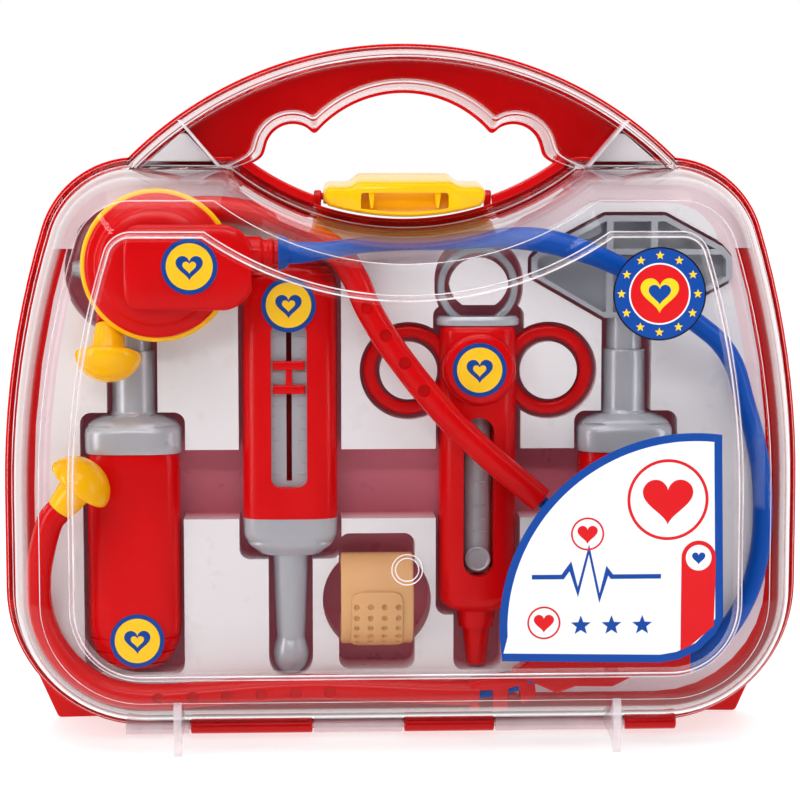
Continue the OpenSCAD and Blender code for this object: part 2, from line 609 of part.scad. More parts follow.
// Ear arms: bars with a row of blind holes, and a comb at the end that takes the branch
left_route = across([[-113.4, -15.4, 80.2], [-116.6, -15, 76.2], [-119.4, -13.4, 67], [-121.2, -11.2, 57],
  [-121, -8.6, 46], [-117.4, -7.4, 35],
  [-110.4, arm_y, 25.4], [-100.4, arm_y, 18.6], [-89, arm_y, 16], [-76, arm_y, 16],
  [-62, arm_y, 17], [-48, arm_y, 18], [-32, arm_y, 18.6], [-14, arm_y, 18], [4, arm_y, 17], [18, arm_y, 16.4],
  [25, arm_y, 16.2]]);
right_route = across([[-96.6, -10.2, 141], [-96.4, -8.8, 145.8], [-94, -10.5, 158], [-87, -10.5, 168.4],
  [-76, -7, 176.6], [-61.7, -7, 178.2],
  [-46, -6.6, 175.6], [-33.8, -6.4, 171.4], [-22.4, -8.4, 164.4], [-16.2, -9.8, 155.4], [-12.4, -10.6, 146.4],
  [-6.8, -11.4, 136.6], [-0.3, -12, 127.5], [6.3, -12.6, 119], [16, -12.8, 108], [28, -12.2, 96.6],
  [40, -11.8, 86.4], [45, -11.8, 82]]);
module arm(route) rod([for (p = route) concat(p, [arm_r])], n = 8);
module arm_left() color("red") difference() {
  union() {
    arm(left_route);
    slab(arm_y - arm_r + 0.4, arm_y + arm_r) polygon(across([[22, 10.8], [25, 11], [25, 17.6], [29.6, 17.8],
      [29.6, 11.2], [34.7, 11.2], [34.7, 18.2], [38.2, 19.2], [39.4, 12.8], [44.2, 15], [43.4, 21.6],
      [36, 22.6], [22, 20.6]]));
  }
  branch([for (p = left_branch) p - (p == left_branch[0] ? [0.4, 0, 0] : [0, 0, 0])], seat);
  for (i = [0:5]) translate([(-82 + i * 11.4) * wide, arm_y - arm_r + 1, 16 + 0.32 * i]) rotate([90, 0, 0])
    cylinder(r = 1.7, h = 4);
  slab(yoke_y - 5, yoke_back + seat) translate([42 * wide, 17]) square(20);
}
module arm_right() color("red") difference() {
  arm(right_route);
  for (i = [0:3]) translate([(-12.6 + i * 6.2) * wide, -10 - arm_r - 0.5 * i, 146 - i * 9]) rotate([90, 0, 0])
    cylinder(r = 1.7, h = 4);
  branch([for (p = right_branch) p - (p == right_branch[0] ? [0.4, 0, -0.4] : [0, 0, 0])], seat);
}
module ear_tip(route) let (d = unit(route[0] - route[1]))
  translate(route[0] + 0.05 * d) rotate([0, acos(d[2]), atan2(d[1], d[0])]) rotate_extrude()
    polygon([[0, 0], [4.6, 0], [5.6, 9.4], [ear_r - 1, 9.4], [ear_r, 10.4], [ear_r - 0.4, 12.6],
      [ear_r - 2.2, 15.4], [ear_r - 5, 17.6], [3.4, 19], [0, 19.4]]);
module ear_tip_left() color("gold") ear_tip(left_route);
module ear_tip_right() color("gold") ear_tip(right_route);

// Printed parts: the front label, the round sticker and the round badges on the tools
sticker_t = 0.3;
lid_face = -lid_d;
module front_label() color("white") slab(lid_face - sticker_t, lid_face) polygon(across(concat(
  [[102.5, 46], [100, 41], [95, 35.8], [88, 32.6], [82, 31.6], [30.5, 32.5]],
  arc(92.6, 43.6, 63, 183, 82, 14))));
module round_sticker() color("royalblue") translate([80.6 * wide, 0, 151.5]) rotate([90, 0, 0])
  translate([0, 0, lid_d]) cylinder(r = 15, h = sticker_t);
badge_r = 9;
module badge(p) translate(p) rotate([90, 0, 0]) cylinder(r = badge_r, h = sticker_t);
module otoscope_badge() color("gold") badge([oto_cx + 1.2, tool_y - grip_hd, grip_z + 11.4]);
module thermometer_badge() color("gold") badge([window_x, thermo_y - thermo_hd, thermo_top - 6.3 - badge_r]);
module syringe_badge() color("gold") badge([syr_cx, syr_y - syr_hd - 1.5, finger_z + 0.6]);
module chest_badge() color("gold") badge([chest_x + 10.9, chest_back - 12, chest_z]);

// Tray: a formed sheet with a pocket for each tool and a finger trough across them
face_in = tray_in + 5.4;
module box2(x0, z0, x1, z1) translate([x0, z0]) square([x1 - x0, z1 - z0]);
module grip_shape(x) {
  box2(x - grip_hw, grip_z, x + grip_hw, collar_z);
  box2(x - grip_hw - 0.7, collar_z - 4, x + grip_hw + 0.7, shaft_z);
  box2(x - shaft_r, shaft_z - 4, x + shaft_r, shaft_z + 36);
}
module disc_shape() box2(syr_cx - 14, syr_top - 4, syr_cx + 14, syr_top + 3.6 + plunger_out);
module tool_shapes() {
  grip_shape(oto_cx);
  grip_shape(ham_cx);
  translate([oto_cx, oto_head_z]) circle(21);
  translate([ham_cx + 1.4, 0]) head_outline(0);
  box2(thermo_cx - thermo_hw, thermo_z - 12.7, thermo_cx + thermo_hw, thermo_top);
  box2(thermo_cx - bulb_r, 27.9, thermo_cx + bulb_r, thermo_z);
  translate([thermo_cx, 27.9]) circle(bulb_r);
  box2(syr_cx - syr_hw, syr_z - 2.6, syr_cx + syr_hw, syr_top);
  disc_shape();
  box2(syr_cx - 7, 24, syr_cx + 7, syr_z);
  for (z = [0, plunger_out]) translate([syr_cx, ring_z + z]) circle(ring_r);
  for (s = [-1, 1]) translate([syr_cx + s * finger_dx, finger_z]) circle(finger_r);
  translate([cuff_x, cuff_z]) circle(17);
  box2(cuff_x - cuff_w / 2 + 0.6, cuff_z - cuff_hh - 7, cuff_x + cuff_w / 2 - 0.6, cuff_z + cuff_hh + 6);
  box2(oto_cx, trough_z, ham_cx, trough_z + trough_h);
}
// Round islands of the sheet inside the rings of the syringe
module islands(g) {
  for (s = [-1, 1]) translate([syr_cx + s * finger_dx, finger_z]) circle(finger_bore - g);
  difference() {
    intersection_for(z = [0, plunger_out]) translate([syr_cx, ring_z + z]) circle(ring_bore - g);
    offset(delta = g) disc_shape();
  }
}
module pockets(g) difference() {
  offset(r = 2.5 + g) offset(delta = -2.5) tool_shapes();
  islands(g);
}
module tray_level(y0, y1, i) slab(y0, y1) intersection() {
  pockets(tray_gap + tray_t);
  polygon(outline(i));
}
module tray() color("whitesmoke") difference() {
  union() {
    slab(-tray_front, -tray_front + tray_t) polygon(outline(face_in));
    slab(-tray_front, tray_back + tray_t) difference() {
      polygon(outline(face_in));
      polygon(outline(face_in + tray_t));
    }
    slab(tray_back, tray_back + tray_t) difference() {
      polygon(outline(tray_in));
      polygon(outline(face_in + tray_t / 2));
    }
    tray_level(-tray_front, tray_back + tray_t, face_in);
    tray_level(tray_back, pocket_y + tray_t, tray_in);
  }
  slab(-tray_front - 1, pocket_y) pockets(tray_gap);
}

back_shell();
front_lid();
hinge_pin();
latch();
latch_pin();
tray();
front_label();
round_sticker();
chest_rim();
chest_bell();
chest_cap();
tube_collar();
steth_tube();
steth_yoke();
left_branch_tube();
right_branch_tube();
arm_left();
arm_right();
ear_tip_left();
ear_tip_right();
otoscope_grip();
otoscope_collar();
otoscope_head();
hammer_grip();
hammer_collar();
hammer_head();
thermometer_body();
thermometer_scale();
thermometer_slider();
thermometer_tip();
syringe_barrel();
syringe_plunger();
plaster_cuff();
otoscope_badge();
thermometer_badge();
syringe_badge();
chest_badge();
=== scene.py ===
from math import acos, asin, atan2, cos, degrees, pi, radians, sin, sqrt
import bmesh
import bpy
from mathutils import Matrix, Vector


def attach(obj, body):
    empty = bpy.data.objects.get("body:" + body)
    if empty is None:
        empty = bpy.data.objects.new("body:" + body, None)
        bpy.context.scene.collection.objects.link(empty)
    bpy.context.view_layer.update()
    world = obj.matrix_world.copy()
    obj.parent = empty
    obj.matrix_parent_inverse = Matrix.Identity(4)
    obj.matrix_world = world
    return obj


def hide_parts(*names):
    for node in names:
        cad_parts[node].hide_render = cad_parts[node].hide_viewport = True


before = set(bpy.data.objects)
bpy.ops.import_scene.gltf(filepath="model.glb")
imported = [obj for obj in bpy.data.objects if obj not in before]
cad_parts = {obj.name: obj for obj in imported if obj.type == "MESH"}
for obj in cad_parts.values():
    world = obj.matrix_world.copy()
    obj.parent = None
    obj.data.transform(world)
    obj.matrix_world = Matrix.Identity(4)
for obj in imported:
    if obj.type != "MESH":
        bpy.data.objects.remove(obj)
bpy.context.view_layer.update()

mm = 0.001

# The photograph's camera: level with the top of the tray, a little to the left
camera = {
    "place": (-36, -775, 190),
    "target": (-1.1, 0, 114.4),
    "lens": 104.8,
}
bpy.ops.object.camera_add(location=[v * mm for v in camera["place"]])
shot = bpy.context.object
shot.name = "photoCamera"
shot.data.lens = camera["lens"]
shot.data.sensor_width = 36
shot.data.clip_start = 0.01
aim = Vector(camera["target"]) - Vector(camera["place"])
shot.rotation_euler = aim.to_track_quat("-Z", "Y").to_euler()
bpy.context.scene.camera = shot
print("camera ready")


# Small helpers for working with objects and edit mode
def clearSelection():
    if bpy.context.object and bpy.context.object.mode != "OBJECT":
        bpy.ops.object.mode_set(mode="OBJECT")
    bpy.ops.object.select_all(action="DESELECT")


def pick(piece):
    clearSelection()
    piece.select_set(True)
    bpy.context.view_layer.objects.active = piece
    return piece


def useModifier(piece, kind, **settings):
    pick(piece)
    bpy.ops.object.modifier_add(type=kind)
    modifier = piece.modifiers[-1]
    for key, value in settings.items():
        setattr(modifier, key, value)
    bpy.ops.object.modifier_apply(modifier=modifier.name)
    return piece


def combine(piece, other, how="UNION"):
    useModifier(piece, "BOOLEAN", operation=how, object=other, solver="EXACT")
    bpy.data.objects.remove(other)
    return piece


def cut(piece, tool):
    return combine(piece, tool, "DIFFERENCE")


def join(name, pieces):
    clearSelection()
    for piece in pieces:
        piece.select_set(True)
    bpy.context.view_layer.objects.active = pieces[0]
    bpy.ops.object.join()
    pieces[0].name = pieces[0].data.name = name
    return pieces[0]


# The object just added, under its own name
def named(name):
    piece = bpy.context.object
    piece.name = piece.data.name = name
    return piece


def applyPlace(piece):
    pick(piece)
    bpy.ops.object.transform_apply(location=True, rotation=True, scale=True)
    return piece


def softenEdges(piece, width, segments=2, angle=35):
    return useModifier(piece, "BEVEL", width=width * mm, segments=segments, limit_method="ANGLE",
                       angle_limit=radians(angle), harden_normals=False, miter_outer="MITER_ARC")


def smooth(piece, angle=35, weighted=False):
    pick(piece)
    bpy.ops.object.shade_smooth_by_angle(angle=radians(angle))
    if weighted:
        useModifier(piece, "WEIGHTED_NORMAL", keep_sharp=True, weight=60)
    return piece


def copyOf(piece, name):
    twin = piece.copy()
    twin.data = piece.data.copy()
    twin.name = twin.data.name = name
    bpy.context.scene.collection.objects.link(twin)
    return twin


# Corners of a path rounded off, in as many dimensions as its points have
def roundPath(points, radius, steps=3, closed=False):
    path = []
    count = len(points)
    for k, point in enumerate(points):
        reach = radius[k] if isinstance(radius, (list, tuple)) else radius
        if reach == 0 or (not closed and k in (0, count - 1)):
            path.append(tuple(point))
            continue
        here = Vector(point)
        before = Vector(points[k - 1]) - here
        after = Vector(points[(k + 1) % count]) - here
        start = here + before.normalized() * min(reach, before.length * 0.48)
        end = here + after.normalized() * min(reach, after.length * 0.48)
        for j in range(steps + 1):
            t = j / steps
            path.append(tuple(start * (1 - t) ** 2 + here * 2 * t * (1 - t) + end * t * t))
    return path


# Points of a route with even curves between them
def curveThrough(points, steps=5):
    ends = [Vector(p) for p in points]
    ends = [ends[0] * 2 - ends[1]] + ends + [ends[-1] * 2 - ends[-2]]
    path = []
    for k in range(1, len(ends) - 2):
        a, b, c, d = ends[k - 1:k + 3]
        for j in range(steps):
            t = j / steps
            path.append((b * 2 + (c - a) * t + (a * 2 - b * 5 + c * 4 - d) * t * t
                         + (b * 3 - a - c * 3 + d) * t ** 3) * 0.5)
    return path + [ends[-2]]


# A body drawn through rings: a circle is added, and its edge is extruded from ring to ring.
# The ends are capped, or where the last ring is the first one again, they are joined
def loftRings(name, rings, joined=False):
    clearSelection()
    count = len(rings[0])
    bpy.ops.mesh.primitive_circle_add(vertices=count, radius=mm, fill_type="NOTHING" if joined else "NGON")
    piece = named(name)
    for vertex, point in zip(piece.data.vertices, rings[0]):
        vertex.co = Vector(point) * mm
    bpy.ops.object.mode_set(mode="EDIT")
    bpy.ops.mesh.select_all(action="SELECT")
    order = list(range(count))
    for ring in rings[1:]:
        bpy.ops.mesh.extrude_edges_move()
        mesh = bmesh.from_edit_mesh(piece.data)
        mesh.verts.ensure_lookup_table()
        following = []
        for index, point in zip(order, ring):
            vertex = mesh.verts[index]
            new = next(e.other_vert(vertex) for e in vertex.link_edges if e.other_vert(vertex).select)
            new.co = Vector(point) * mm
            following.append(new.index)
        order = following
    if joined:
        bpy.ops.mesh.select_all(action="SELECT")
        bpy.ops.mesh.remove_doubles(threshold=0.001 * mm)
    else:
        bpy.ops.mesh.edge_face_add()
    bpy.ops.mesh.select_all(action="SELECT")
    bpy.ops.mesh.normals_make_consistent(inside=False)
    bpy.ops.object.mode_set(mode="OBJECT")
    return piece


def roundDirections(count):
    return [(cos(2 * pi * k / count), sin(2 * pi * k / count)) for k in range(count)]


def circleLoop(cx, cz, radius, count=48):
    return [(cx + radius * c, cz + radius * s) for c, s in roundDirections(count)]


def mirrored(loop, side):
    return [(side * x, z) for x, z in loop]


def rectangle(left, low, right, high):
    return [(left, low), (right, low), (right, high), (left, high)]


# Rounded bar through sections of height, half width, half depth and squareness
def barRings(sections, where, count=64, rounding=1.5):
    rings = []
    for height, wide, deep, square in roundPath(sections, rounding):
        ring = []
        for c, s in roundDirections(count):
            across = wide * (1 if c > 0 else -1) * abs(c) ** (2 / square)
            into = deep * (1 if s > 0 else -1) * abs(s) ** (2 / square)
            ring.append(where(across, into, height))
        rings.append(ring)
    return rings


def upright(x, y, z):
    return lambda across, into, height: (x + across, y + into, z + height)


def sideways(x, y, z):
    return lambda across, into, height: (x + height, y + into, z - across)


# Turned body: radius and height along a direction
def turned(name, profile, where, count=64, rounding=0.5):
    direction = Vector(where[1]).normalized()
    side = direction.orthogonal().normalized()
    third = direction.cross(side)
    rings = []
    for radius, height in roundPath(profile, rounding):
        centre = Vector(where[0]) + direction * height
        rings.append([centre + (side * c + third * s) * max(radius, 0.02)
                      for c, s in roundDirections(count)])
    return loftRings(name, rings)


# A ring that faces the front: its section of radius and depth is carried round the centre
def hoop(name, centre, section, count=72):
    x, y, z = centre
    rings = [[(x + radius * c, y + deep, z + radius * s) for c, s in roundDirections(count)]
             for radius, deep in section + section[:1]]
    return loftRings(name, rings, True)


# Round rod along a route of points, each with its radius
def rodRings(route, count=24, steps=5):
    path = curveThrough(route, steps)
    rings = []
    for k, point in enumerate(path):
        ahead, back = path[min(k + 1, len(path) - 1)], path[max(k - 1, 0)]
        along = Vector((ahead - back)[:3]).normalized()
        side = along.cross(Vector((0, 1, 0))).normalized()
        third = side.cross(along)
        rings.append([Vector(point[:3]) + (side * c + third * s) * point[3]
                      for c, s in roundDirections(count)])
    return rings


# Flat shape seen from the front, given its depth by an extrusion
def flatPlate(name, loops, front, back, edge=0.0, segments=2):
    clearSelection()
    bpy.ops.curve.primitive_bezier_circle_add(radius=1)
    piece = named(name)
    piece.data.dimensions = "2D"
    piece.data.fill_mode = "FRONT"
    piece.data.splines.clear()
    for loop in loops:
        line = piece.data.splines.new("POLY")
        line.points.add(len(loop) - 1)
        for point, (x, z) in zip(line.points, loop):
            point.co = (x * mm, z * mm, 0, 1)
        line.use_cyclic_u = True
    bpy.ops.object.convert(target="MESH")
    piece = named(name)
    piece.rotation_euler = (pi / 2, 0, 0)
    piece.location = (0, front * mm, 0)
    applyPlace(piece)
    bpy.ops.object.mode_set(mode="EDIT")
    bpy.ops.mesh.select_all(action="SELECT")
    bpy.ops.mesh.remove_doubles(threshold=0.001 * mm)
    bpy.ops.mesh.dissolve_limited(angle_limit=radians(1))
    bpy.ops.mesh.extrude_region_move(TRANSFORM_OT_translate={"value": (0, (back - front) * mm, 0)})
    bpy.ops.mesh.select_all(action="SELECT")
    bpy.ops.mesh.normals_make_consistent(inside=False)
    bpy.ops.object.mode_set(mode="OBJECT")
    if edge:
        softenEdges(piece, edge, segments, 50)
    return piece


def roundedBox(name, centre, size, edge, segments=3):
    clearSelection()
    bpy.ops.mesh.primitive_cube_add(size=mm, location=[v * mm for v in centre], scale=size)
    piece = applyPlace(named(name))
    if edge:
        softenEdges(piece, edge, segments)
    return piece


def rodBetween(name, start, end, radius, count=32, edge=0.3):
    along = Vector(end) - Vector(start)
    far = along.length
    profile = [(radius - edge, 0), (radius, edge), (radius, far - edge), (radius - edge, far)]
    return turned(name, profile, (start, along), count, edge * 0.4)


# A copy of a CAD node with its corners eased
def easedCopy(name, node, width, segments=2, angle=40):
    piece = copyOf(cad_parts[node], name)
    piece.parent = None
    for key in list(piece.keys()):
        if key.startswith("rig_"):
            del piece[key]
    piece.matrix_world = Matrix.Identity(4)
    pick(piece)
    if piece.data.has_custom_normals:
        bpy.ops.mesh.customdata_custom_splitnormals_clear()
    bpy.ops.object.mode_set(mode="EDIT")
    bpy.ops.mesh.select_all(action="SELECT")
    bpy.ops.mesh.remove_doubles(threshold=0.002 * mm)
    bpy.ops.mesh.dissolve_limited(angle_limit=radians(0.8))
    # Faces with holes in them go back to plain ones
    bpy.ops.mesh.quads_convert_to_tris(quad_method="BEAUTY", ngon_method="BEAUTY")
    bpy.ops.mesh.tris_convert_to_quads(face_threshold=radians(1), shape_threshold=radians(120))
    bpy.ops.object.mode_set(mode="OBJECT")
    piece.data.materials.clear()
    if width:
        softenEdges(piece, width, segments, angle)
    return smooth(piece, 40, True)


# Materials
def toLinear(colour):
    return [((c / 255 + 0.055) / 1.055) ** 2.4 if c > 10 else c / 255 / 12.92 for c in colour] + [1]


def grey(level):
    return (level, level, level, 1)


class Surface:
    def __init__(self, name):
        self.material = bpy.data.materials.new(name)
        self.material.use_nodes = True
        self.tree = self.material.node_tree
        self.shader = self.tree.nodes["Principled BSDF"]
        self.output = self.tree.nodes["Material Output"]
        self.place = self.add("ShaderNodeTexCoord")

    def add(self, kind, **settings):
        node = self.tree.nodes.new(kind)
        for key, value in settings.items():
            if key in node.inputs:
                node.inputs[key].default_value = value
            else:
                setattr(node, key, value)
        return node

    def link(self, start, end):
        self.tree.links.new(start, end)

    def noise(self, scale, detail=3.0, rough=0.5):
        node = self.add("ShaderNodeTexNoise", Scale=scale, Detail=detail, Roughness=rough)
        self.link(self.place.outputs["Object"], node.inputs["Vector"])
        return node.outputs["Fac"]

    def spread(self, value, low, high, start=0.3, end=0.7):
        node = self.add("ShaderNodeMapRange")
        node.inputs["From Min"].default_value = start
        node.inputs["From Max"].default_value = end
        node.inputs["To Min"].default_value = low
        node.inputs["To Max"].default_value = high
        self.link(value, node.inputs["Value"])
        return node.outputs["Result"]

    def ramp(self, value, stops):
        node = self.add("ShaderNodeValToRGB")
        while len(node.color_ramp.elements) < len(stops):
            node.color_ramp.elements.new(0.5)
        for element, (at, colour) in zip(node.color_ramp.elements, stops):
            element.position = at
            element.color = colour
        self.link(value, node.inputs["Fac"])
        return node.outputs["Color"]

    def bump(self, value, strength, depth, shader=None):
        node = self.add("ShaderNodeBump", Strength=strength, Distance=depth * mm)
        self.link(value, node.inputs["Height"])
        self.link(node.outputs["Normal"], (shader or self.shader).inputs["Normal"])

    # Gloss that differs a little from place to place
    def gloss(self, scale, detail, low, high, shader=None, start=0.3, end=0.7):
        level = self.spread(self.noise(scale, detail), low, high, start, end)
        self.link(level, (shader or self.shader).inputs["Roughness"])

    # Surface that is partly seen through and partly another shader
    def seenThrough(self, seen, shader, share):
        both = self.add("ShaderNodeMixShader")
        self.link(share, both.inputs[0])
        self.link(seen.outputs[0], both.inputs[1])
        self.link(shader.outputs[0], both.inputs[2])
        self.link(both.outputs[0], self.output.inputs["Surface"])


# Moulded plastic: slight clouding of the colour, uneven gloss and a shallow waviness
def mouldedPlastic(name, colour, rough=0.22, clouding=0.06, metal=0.0, coat=0.0, wave=0.03, soft=0.0,
                   specular=0.3):
    surface = Surface(name)
    shader = surface.shader
    base = toLinear(colour)
    dark = [c * (1 - clouding) for c in base[:3]] + [1]
    light = [min(1, c * (1 + clouding) + clouding * 0.02) for c in base[:3]] + [1]
    clouds = surface.noise(60, 2)
    surface.link(surface.ramp(clouds, [(0.15, dark), (0.85, light)]), shader.inputs["Base Color"])
    surface.gloss(60, 2, rough * 0.85, rough * 1.2, shader, 0.15, 0.85)
    surface.bump(surface.noise(110, 2), wave, 0.25)
    shader.inputs["Metallic"].default_value = metal
    shader.inputs["Specular IOR Level"].default_value = specular
    shader.inputs["Coat Weight"].default_value = coat
    shader.inputs["Coat Roughness"].default_value = 0.08
    if soft:
        shader.inputs["Subsurface Weight"].default_value = soft
        shader.inputs["Subsurface Radius"].default_value = (1, 0.4, 0.3)
        shader.inputs["Subsurface Scale"].default_value = 0.002
    return surface.material


finishes = {
    "red": {"colour": (206, 3, 8), "rough": 0.2, "coat": 0.1},
    "toolRed": {"colour": (204, 3, 8), "rough": 0.24, "coat": 0.05, "specular": 0.18},
    "yellow": {"colour": (250, 186, 2), "rough": 0.22, "coat": 0.1, "soft": 0.1},
    "blue": {"colour": (0, 72, 160), "rough": 0.28, "coat": 0.05},
    "tubeBlue": {"colour": (0, 74, 168), "rough": 0.3, "coat": 0.03, "soft": 0.1, "specular": 0.18},
    "silver": {"colour": (180, 182, 188), "rough": 0.3, "metal": 0.25, "clouding": 0.02, "coat": 0.1,
               "wave": 0.015},
    "skin": {"colour": (216, 168, 116), "rough": 0.42, "soft": 0.2, "wave": 0.06},
    "printWhite": {"colour": (226, 228, 232), "rough": 0.35, "clouding": 0.02},
    "printBlue": {"colour": (6, 66, 150), "rough": 0.32, "clouding": 0.03},
    "printRed": {"colour": (208, 14, 22), "rough": 0.32, "clouding": 0.03},
    "printYellow": {"colour": (250, 200, 30), "rough": 0.32, "clouding": 0.03},
    "printBlack": {"colour": (18, 18, 30), "rough": 0.35, "clouding": 0.03},
}
looks = {name: mouldedPlastic(name, **settings) for name, settings in finishes.items()}


# Clear plastic: see-through face on, and more and more reflecting towards the walls
def clearPlastic():
    surface = Surface("clear")
    surface.tree.nodes.remove(surface.shader)
    facing = surface.add("ShaderNodeLayerWeight", Blend=0.5)
    levels = [(0.0, 0.012), (0.3, 0.016), (0.5, 0.09), (0.7, 0.45), (0.84, 0.78), (1.0, 0.85)]
    share = surface.ramp(facing.outputs["Facing"], [(at, grey(level)) for at, level in levels])
    seen = surface.add("ShaderNodeBsdfTransparent")
    surface.link(surface.ramp(facing.outputs["Facing"], [
        (0.0, (0.985, 0.982, 0.984, 1)), (0.55, (0.97, 0.955, 0.96, 1)), (0.95, (0.9, 0.83, 0.85, 1))]),
        seen.inputs["Color"])
    shine = surface.add("ShaderNodeBsdfGlossy")
    shine.inputs["Color"].default_value = (1, 1, 1, 1)
    surface.gloss(90, 3, 0.02, 0.05, shine)
    surface.bump(surface.noise(45, 2), 0.05, 0.4, shine)
    surface.seenThrough(seen, shine, share)
    return surface.material


# Cloudy clear plastic, partly white; where it colours the lid's edge beads and ribs, the white is a painted
# highlight for the light those clear edges catch
def cloudyHighlightPlastic(name, colour, share, change):
    surface = Surface(name)
    shades = [(0.3, toLinear([c - 10 for c in colour])), (0.7, toLinear(colour))]
    surface.link(surface.ramp(surface.noise(140, 3), shades), surface.shader.inputs["Base Color"])
    surface.gloss(200, 3, 0.12, 0.2)
    surface.bump(surface.noise(70, 2), 0.05, 0.3)
    seen = surface.add("ShaderNodeBsdfTransparent")
    seen.inputs["Color"].default_value = (0.97, 0.93, 0.94, 1)
    clouds = surface.spread(surface.noise(35, 3), share - change, share + change)
    surface.seenThrough(seen, surface.shader, clouds)
    return surface.material


# Thin milky sheet, whose deeper floors are painted pinker and darker: painted red light coming through the
# sheet from the red shell behind, painted shade in the deep pockets, and a faint pink painted glow there
def trayPlastic():
    surface = Surface("traySheet")
    parts = surface.add("ShaderNodeSeparateXYZ")
    surface.link(surface.place.outputs["Object"], parts.inputs[0])
    depth = surface.spread(parts.outputs["Y"], 0, 1, -2.3 * mm, 14.2 * mm)
    cloudAndDepth = surface.add("ShaderNodeMath", operation="MULTIPLY_ADD")
    surface.link(surface.noise(35, 3), cloudAndDepth.inputs[0])
    cloudAndDepth.inputs[1].default_value = 0.12
    surface.link(depth, cloudAndDepth.inputs[2])
    # Towards the pocket floors the white turns pink and darker: painted light from the red shell and painted
    # shade, not the sheet's own colour
    tintsWithPaintedLight = [(0.0, (222, 221, 223)), (0.12, (222, 218, 220)), (0.4, (222, 200, 205)), (0.85, (216, 150, 162)),
             (1.0, (196, 104, 120))]
    surface.link(surface.ramp(cloudAndDepth.outputs["Value"], [(at, toLinear(tint)) for at, tint in tintsWithPaintedLight]),
                 surface.shader.inputs["Base Color"])
    surface.gloss(150, 3, 0.26, 0.38)
    surface.bump(surface.noise(60, 3), 0.1, 0.3)
    # A faint pink painted glow in the deep places stands in for light coming through the sheet
    surface.shader.inputs["Emission Color"].default_value = toLinear((214, 120, 140))
    surface.link(surface.spread(depth, 0, 0.07, 0.05, 0.6), surface.shader.inputs["Emission Strength"])
    return surface.material


looks["clear"] = clearPlastic()
# The white of the edge beads, end walls and gate rings is a painted highlight
looks["edge"] = cloudyHighlightPlastic("paintedEdgeHighlight", (250, 244, 248), 0.55, 0.25)
# Milky white; on the lid's clear knuckles and fins it is partly a painted sheen
looks["milky"] = cloudyHighlightPlastic("clearRib", (244, 236, 240), 0.42, 0.08)
looks["tray"] = trayPlastic()
print("materials ready")


# Dress a piece and tie it to the frame
def finishPiece(piece, look, *nodes, body="case"):
    if look:
        piece.data.materials.clear()
        piece.data.materials.append(looks[look])
    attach(piece, body)
    if nodes:
        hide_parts(*nodes)


# Outline of the case, the same as the shells' edge, drawn in by a distance
case = {
    "halfWidth": 133, "baseZ": 4.4, "cornerR": 47, "sideZ": 85, "sideR": 290, "sideLean": 17.5,
    "shoulderR": 33, "rimR": 89.6, "rimZ": 174.9, "lip": 0.9, "creaseDrop": 2.3,
}
sideX = case["halfWidth"] - case["sideR"]
shoulderX = sideX + (case["sideR"] - case["shoulderR"]) * cos(radians(case["sideLean"]))
shoulderZ = case["sideZ"] + (case["sideR"] - case["shoulderR"]) * sin(radians(case["sideLean"]))
topZ = shoulderZ + case["shoulderR"]
rimCentre = case["rimZ"] + case["rimR"]


def arc(cx, cz, radius, start, end, count):
    return [(cx + radius * cos(radians(start + (end - start) * k / count)),
             cz + radius * sin(radians(start + (end - start) * k / count))) for k in range(count + 1)]


def outline(inset):
    rim = case["rimR"] + inset
    reach = sqrt(rim ** 2 - (rimCentre - topZ + inset) ** 2)
    cornerR = case["cornerR"]
    half = arc(case["halfWidth"] - cornerR, case["baseZ"] + cornerR, cornerR - inset, -90, 0, 20)
    half += arc(sideX, case["sideZ"], case["sideR"] - inset, 0, case["sideLean"], 10)
    half += arc(shoulderX, shoulderZ, case["shoulderR"] - inset, case["sideLean"], 90, 18)[1:]
    half += arc(0, rimCentre, rim, -degrees(acos(reach / rim)), -90, 24)
    return [(0, case["baseZ"] + inset)] + half + [(-x, z) for x, z in half[-2::-1]]


def shellRings(path, side, lip=0.0):
    return [[(x, side * y, z) for x, z in outline(inset + lip)] for inset, y in path]


# The lid's crease comes nearer to its lower edge than to its sides
def lidOutline(inset):
    drop = case["creaseDrop"] * min(1, max(0, (inset - 12) / 10))
    return [(x, z - drop * min(1, max(0, (80 - z) / 60))) for x, z in outline(inset)]


# The handle's arch, from one foot over the top to the other and back round the grip hole
handle = {
    "radius": 129.1, "centre": 103.4, "grip": (38.3, 178), "lobe": (9.1, 36.5, 197), "foot": topZ - 3.6,
    "cusp": 3.4, "flank": (46.6, 194.6), "corner": 54.5,
    "profile": [(4.6, 2.8, 9.2), (3.6, 2.2, 3.2), (3.6, 1.8, 0), (0, 0, 0), (0, 0, 2.2), (1.6, 0.4, 3.2),
                (2.6, 0.7, 9.6), (3.6, 1.8, 11)],
    "rounding": [0, 0.4, 0.3, 0.3, 0.8, 0.5, 1.2, 0],
    "clearProfile": [(5.6, 4.4, 9.3), (4.8, 3.6, 8.6), (3.4, 2.0, 3.2), (3.6, 1.8, 0), (0, 0, 0), (0, 0, 2.2),
                     (1.2, 0.3, 3.2), (3.0, 1.9, 10.2), (4.2, 3.1, 11)],
    "clearRounding": [0, 0.8, 0.4, 0.3, 0.3, 0.8, 0.5, 1.0, 0],
    "wall": [(73, 207.2), (74.2, 207.2), (61.2, 192), (60, 192)],
}


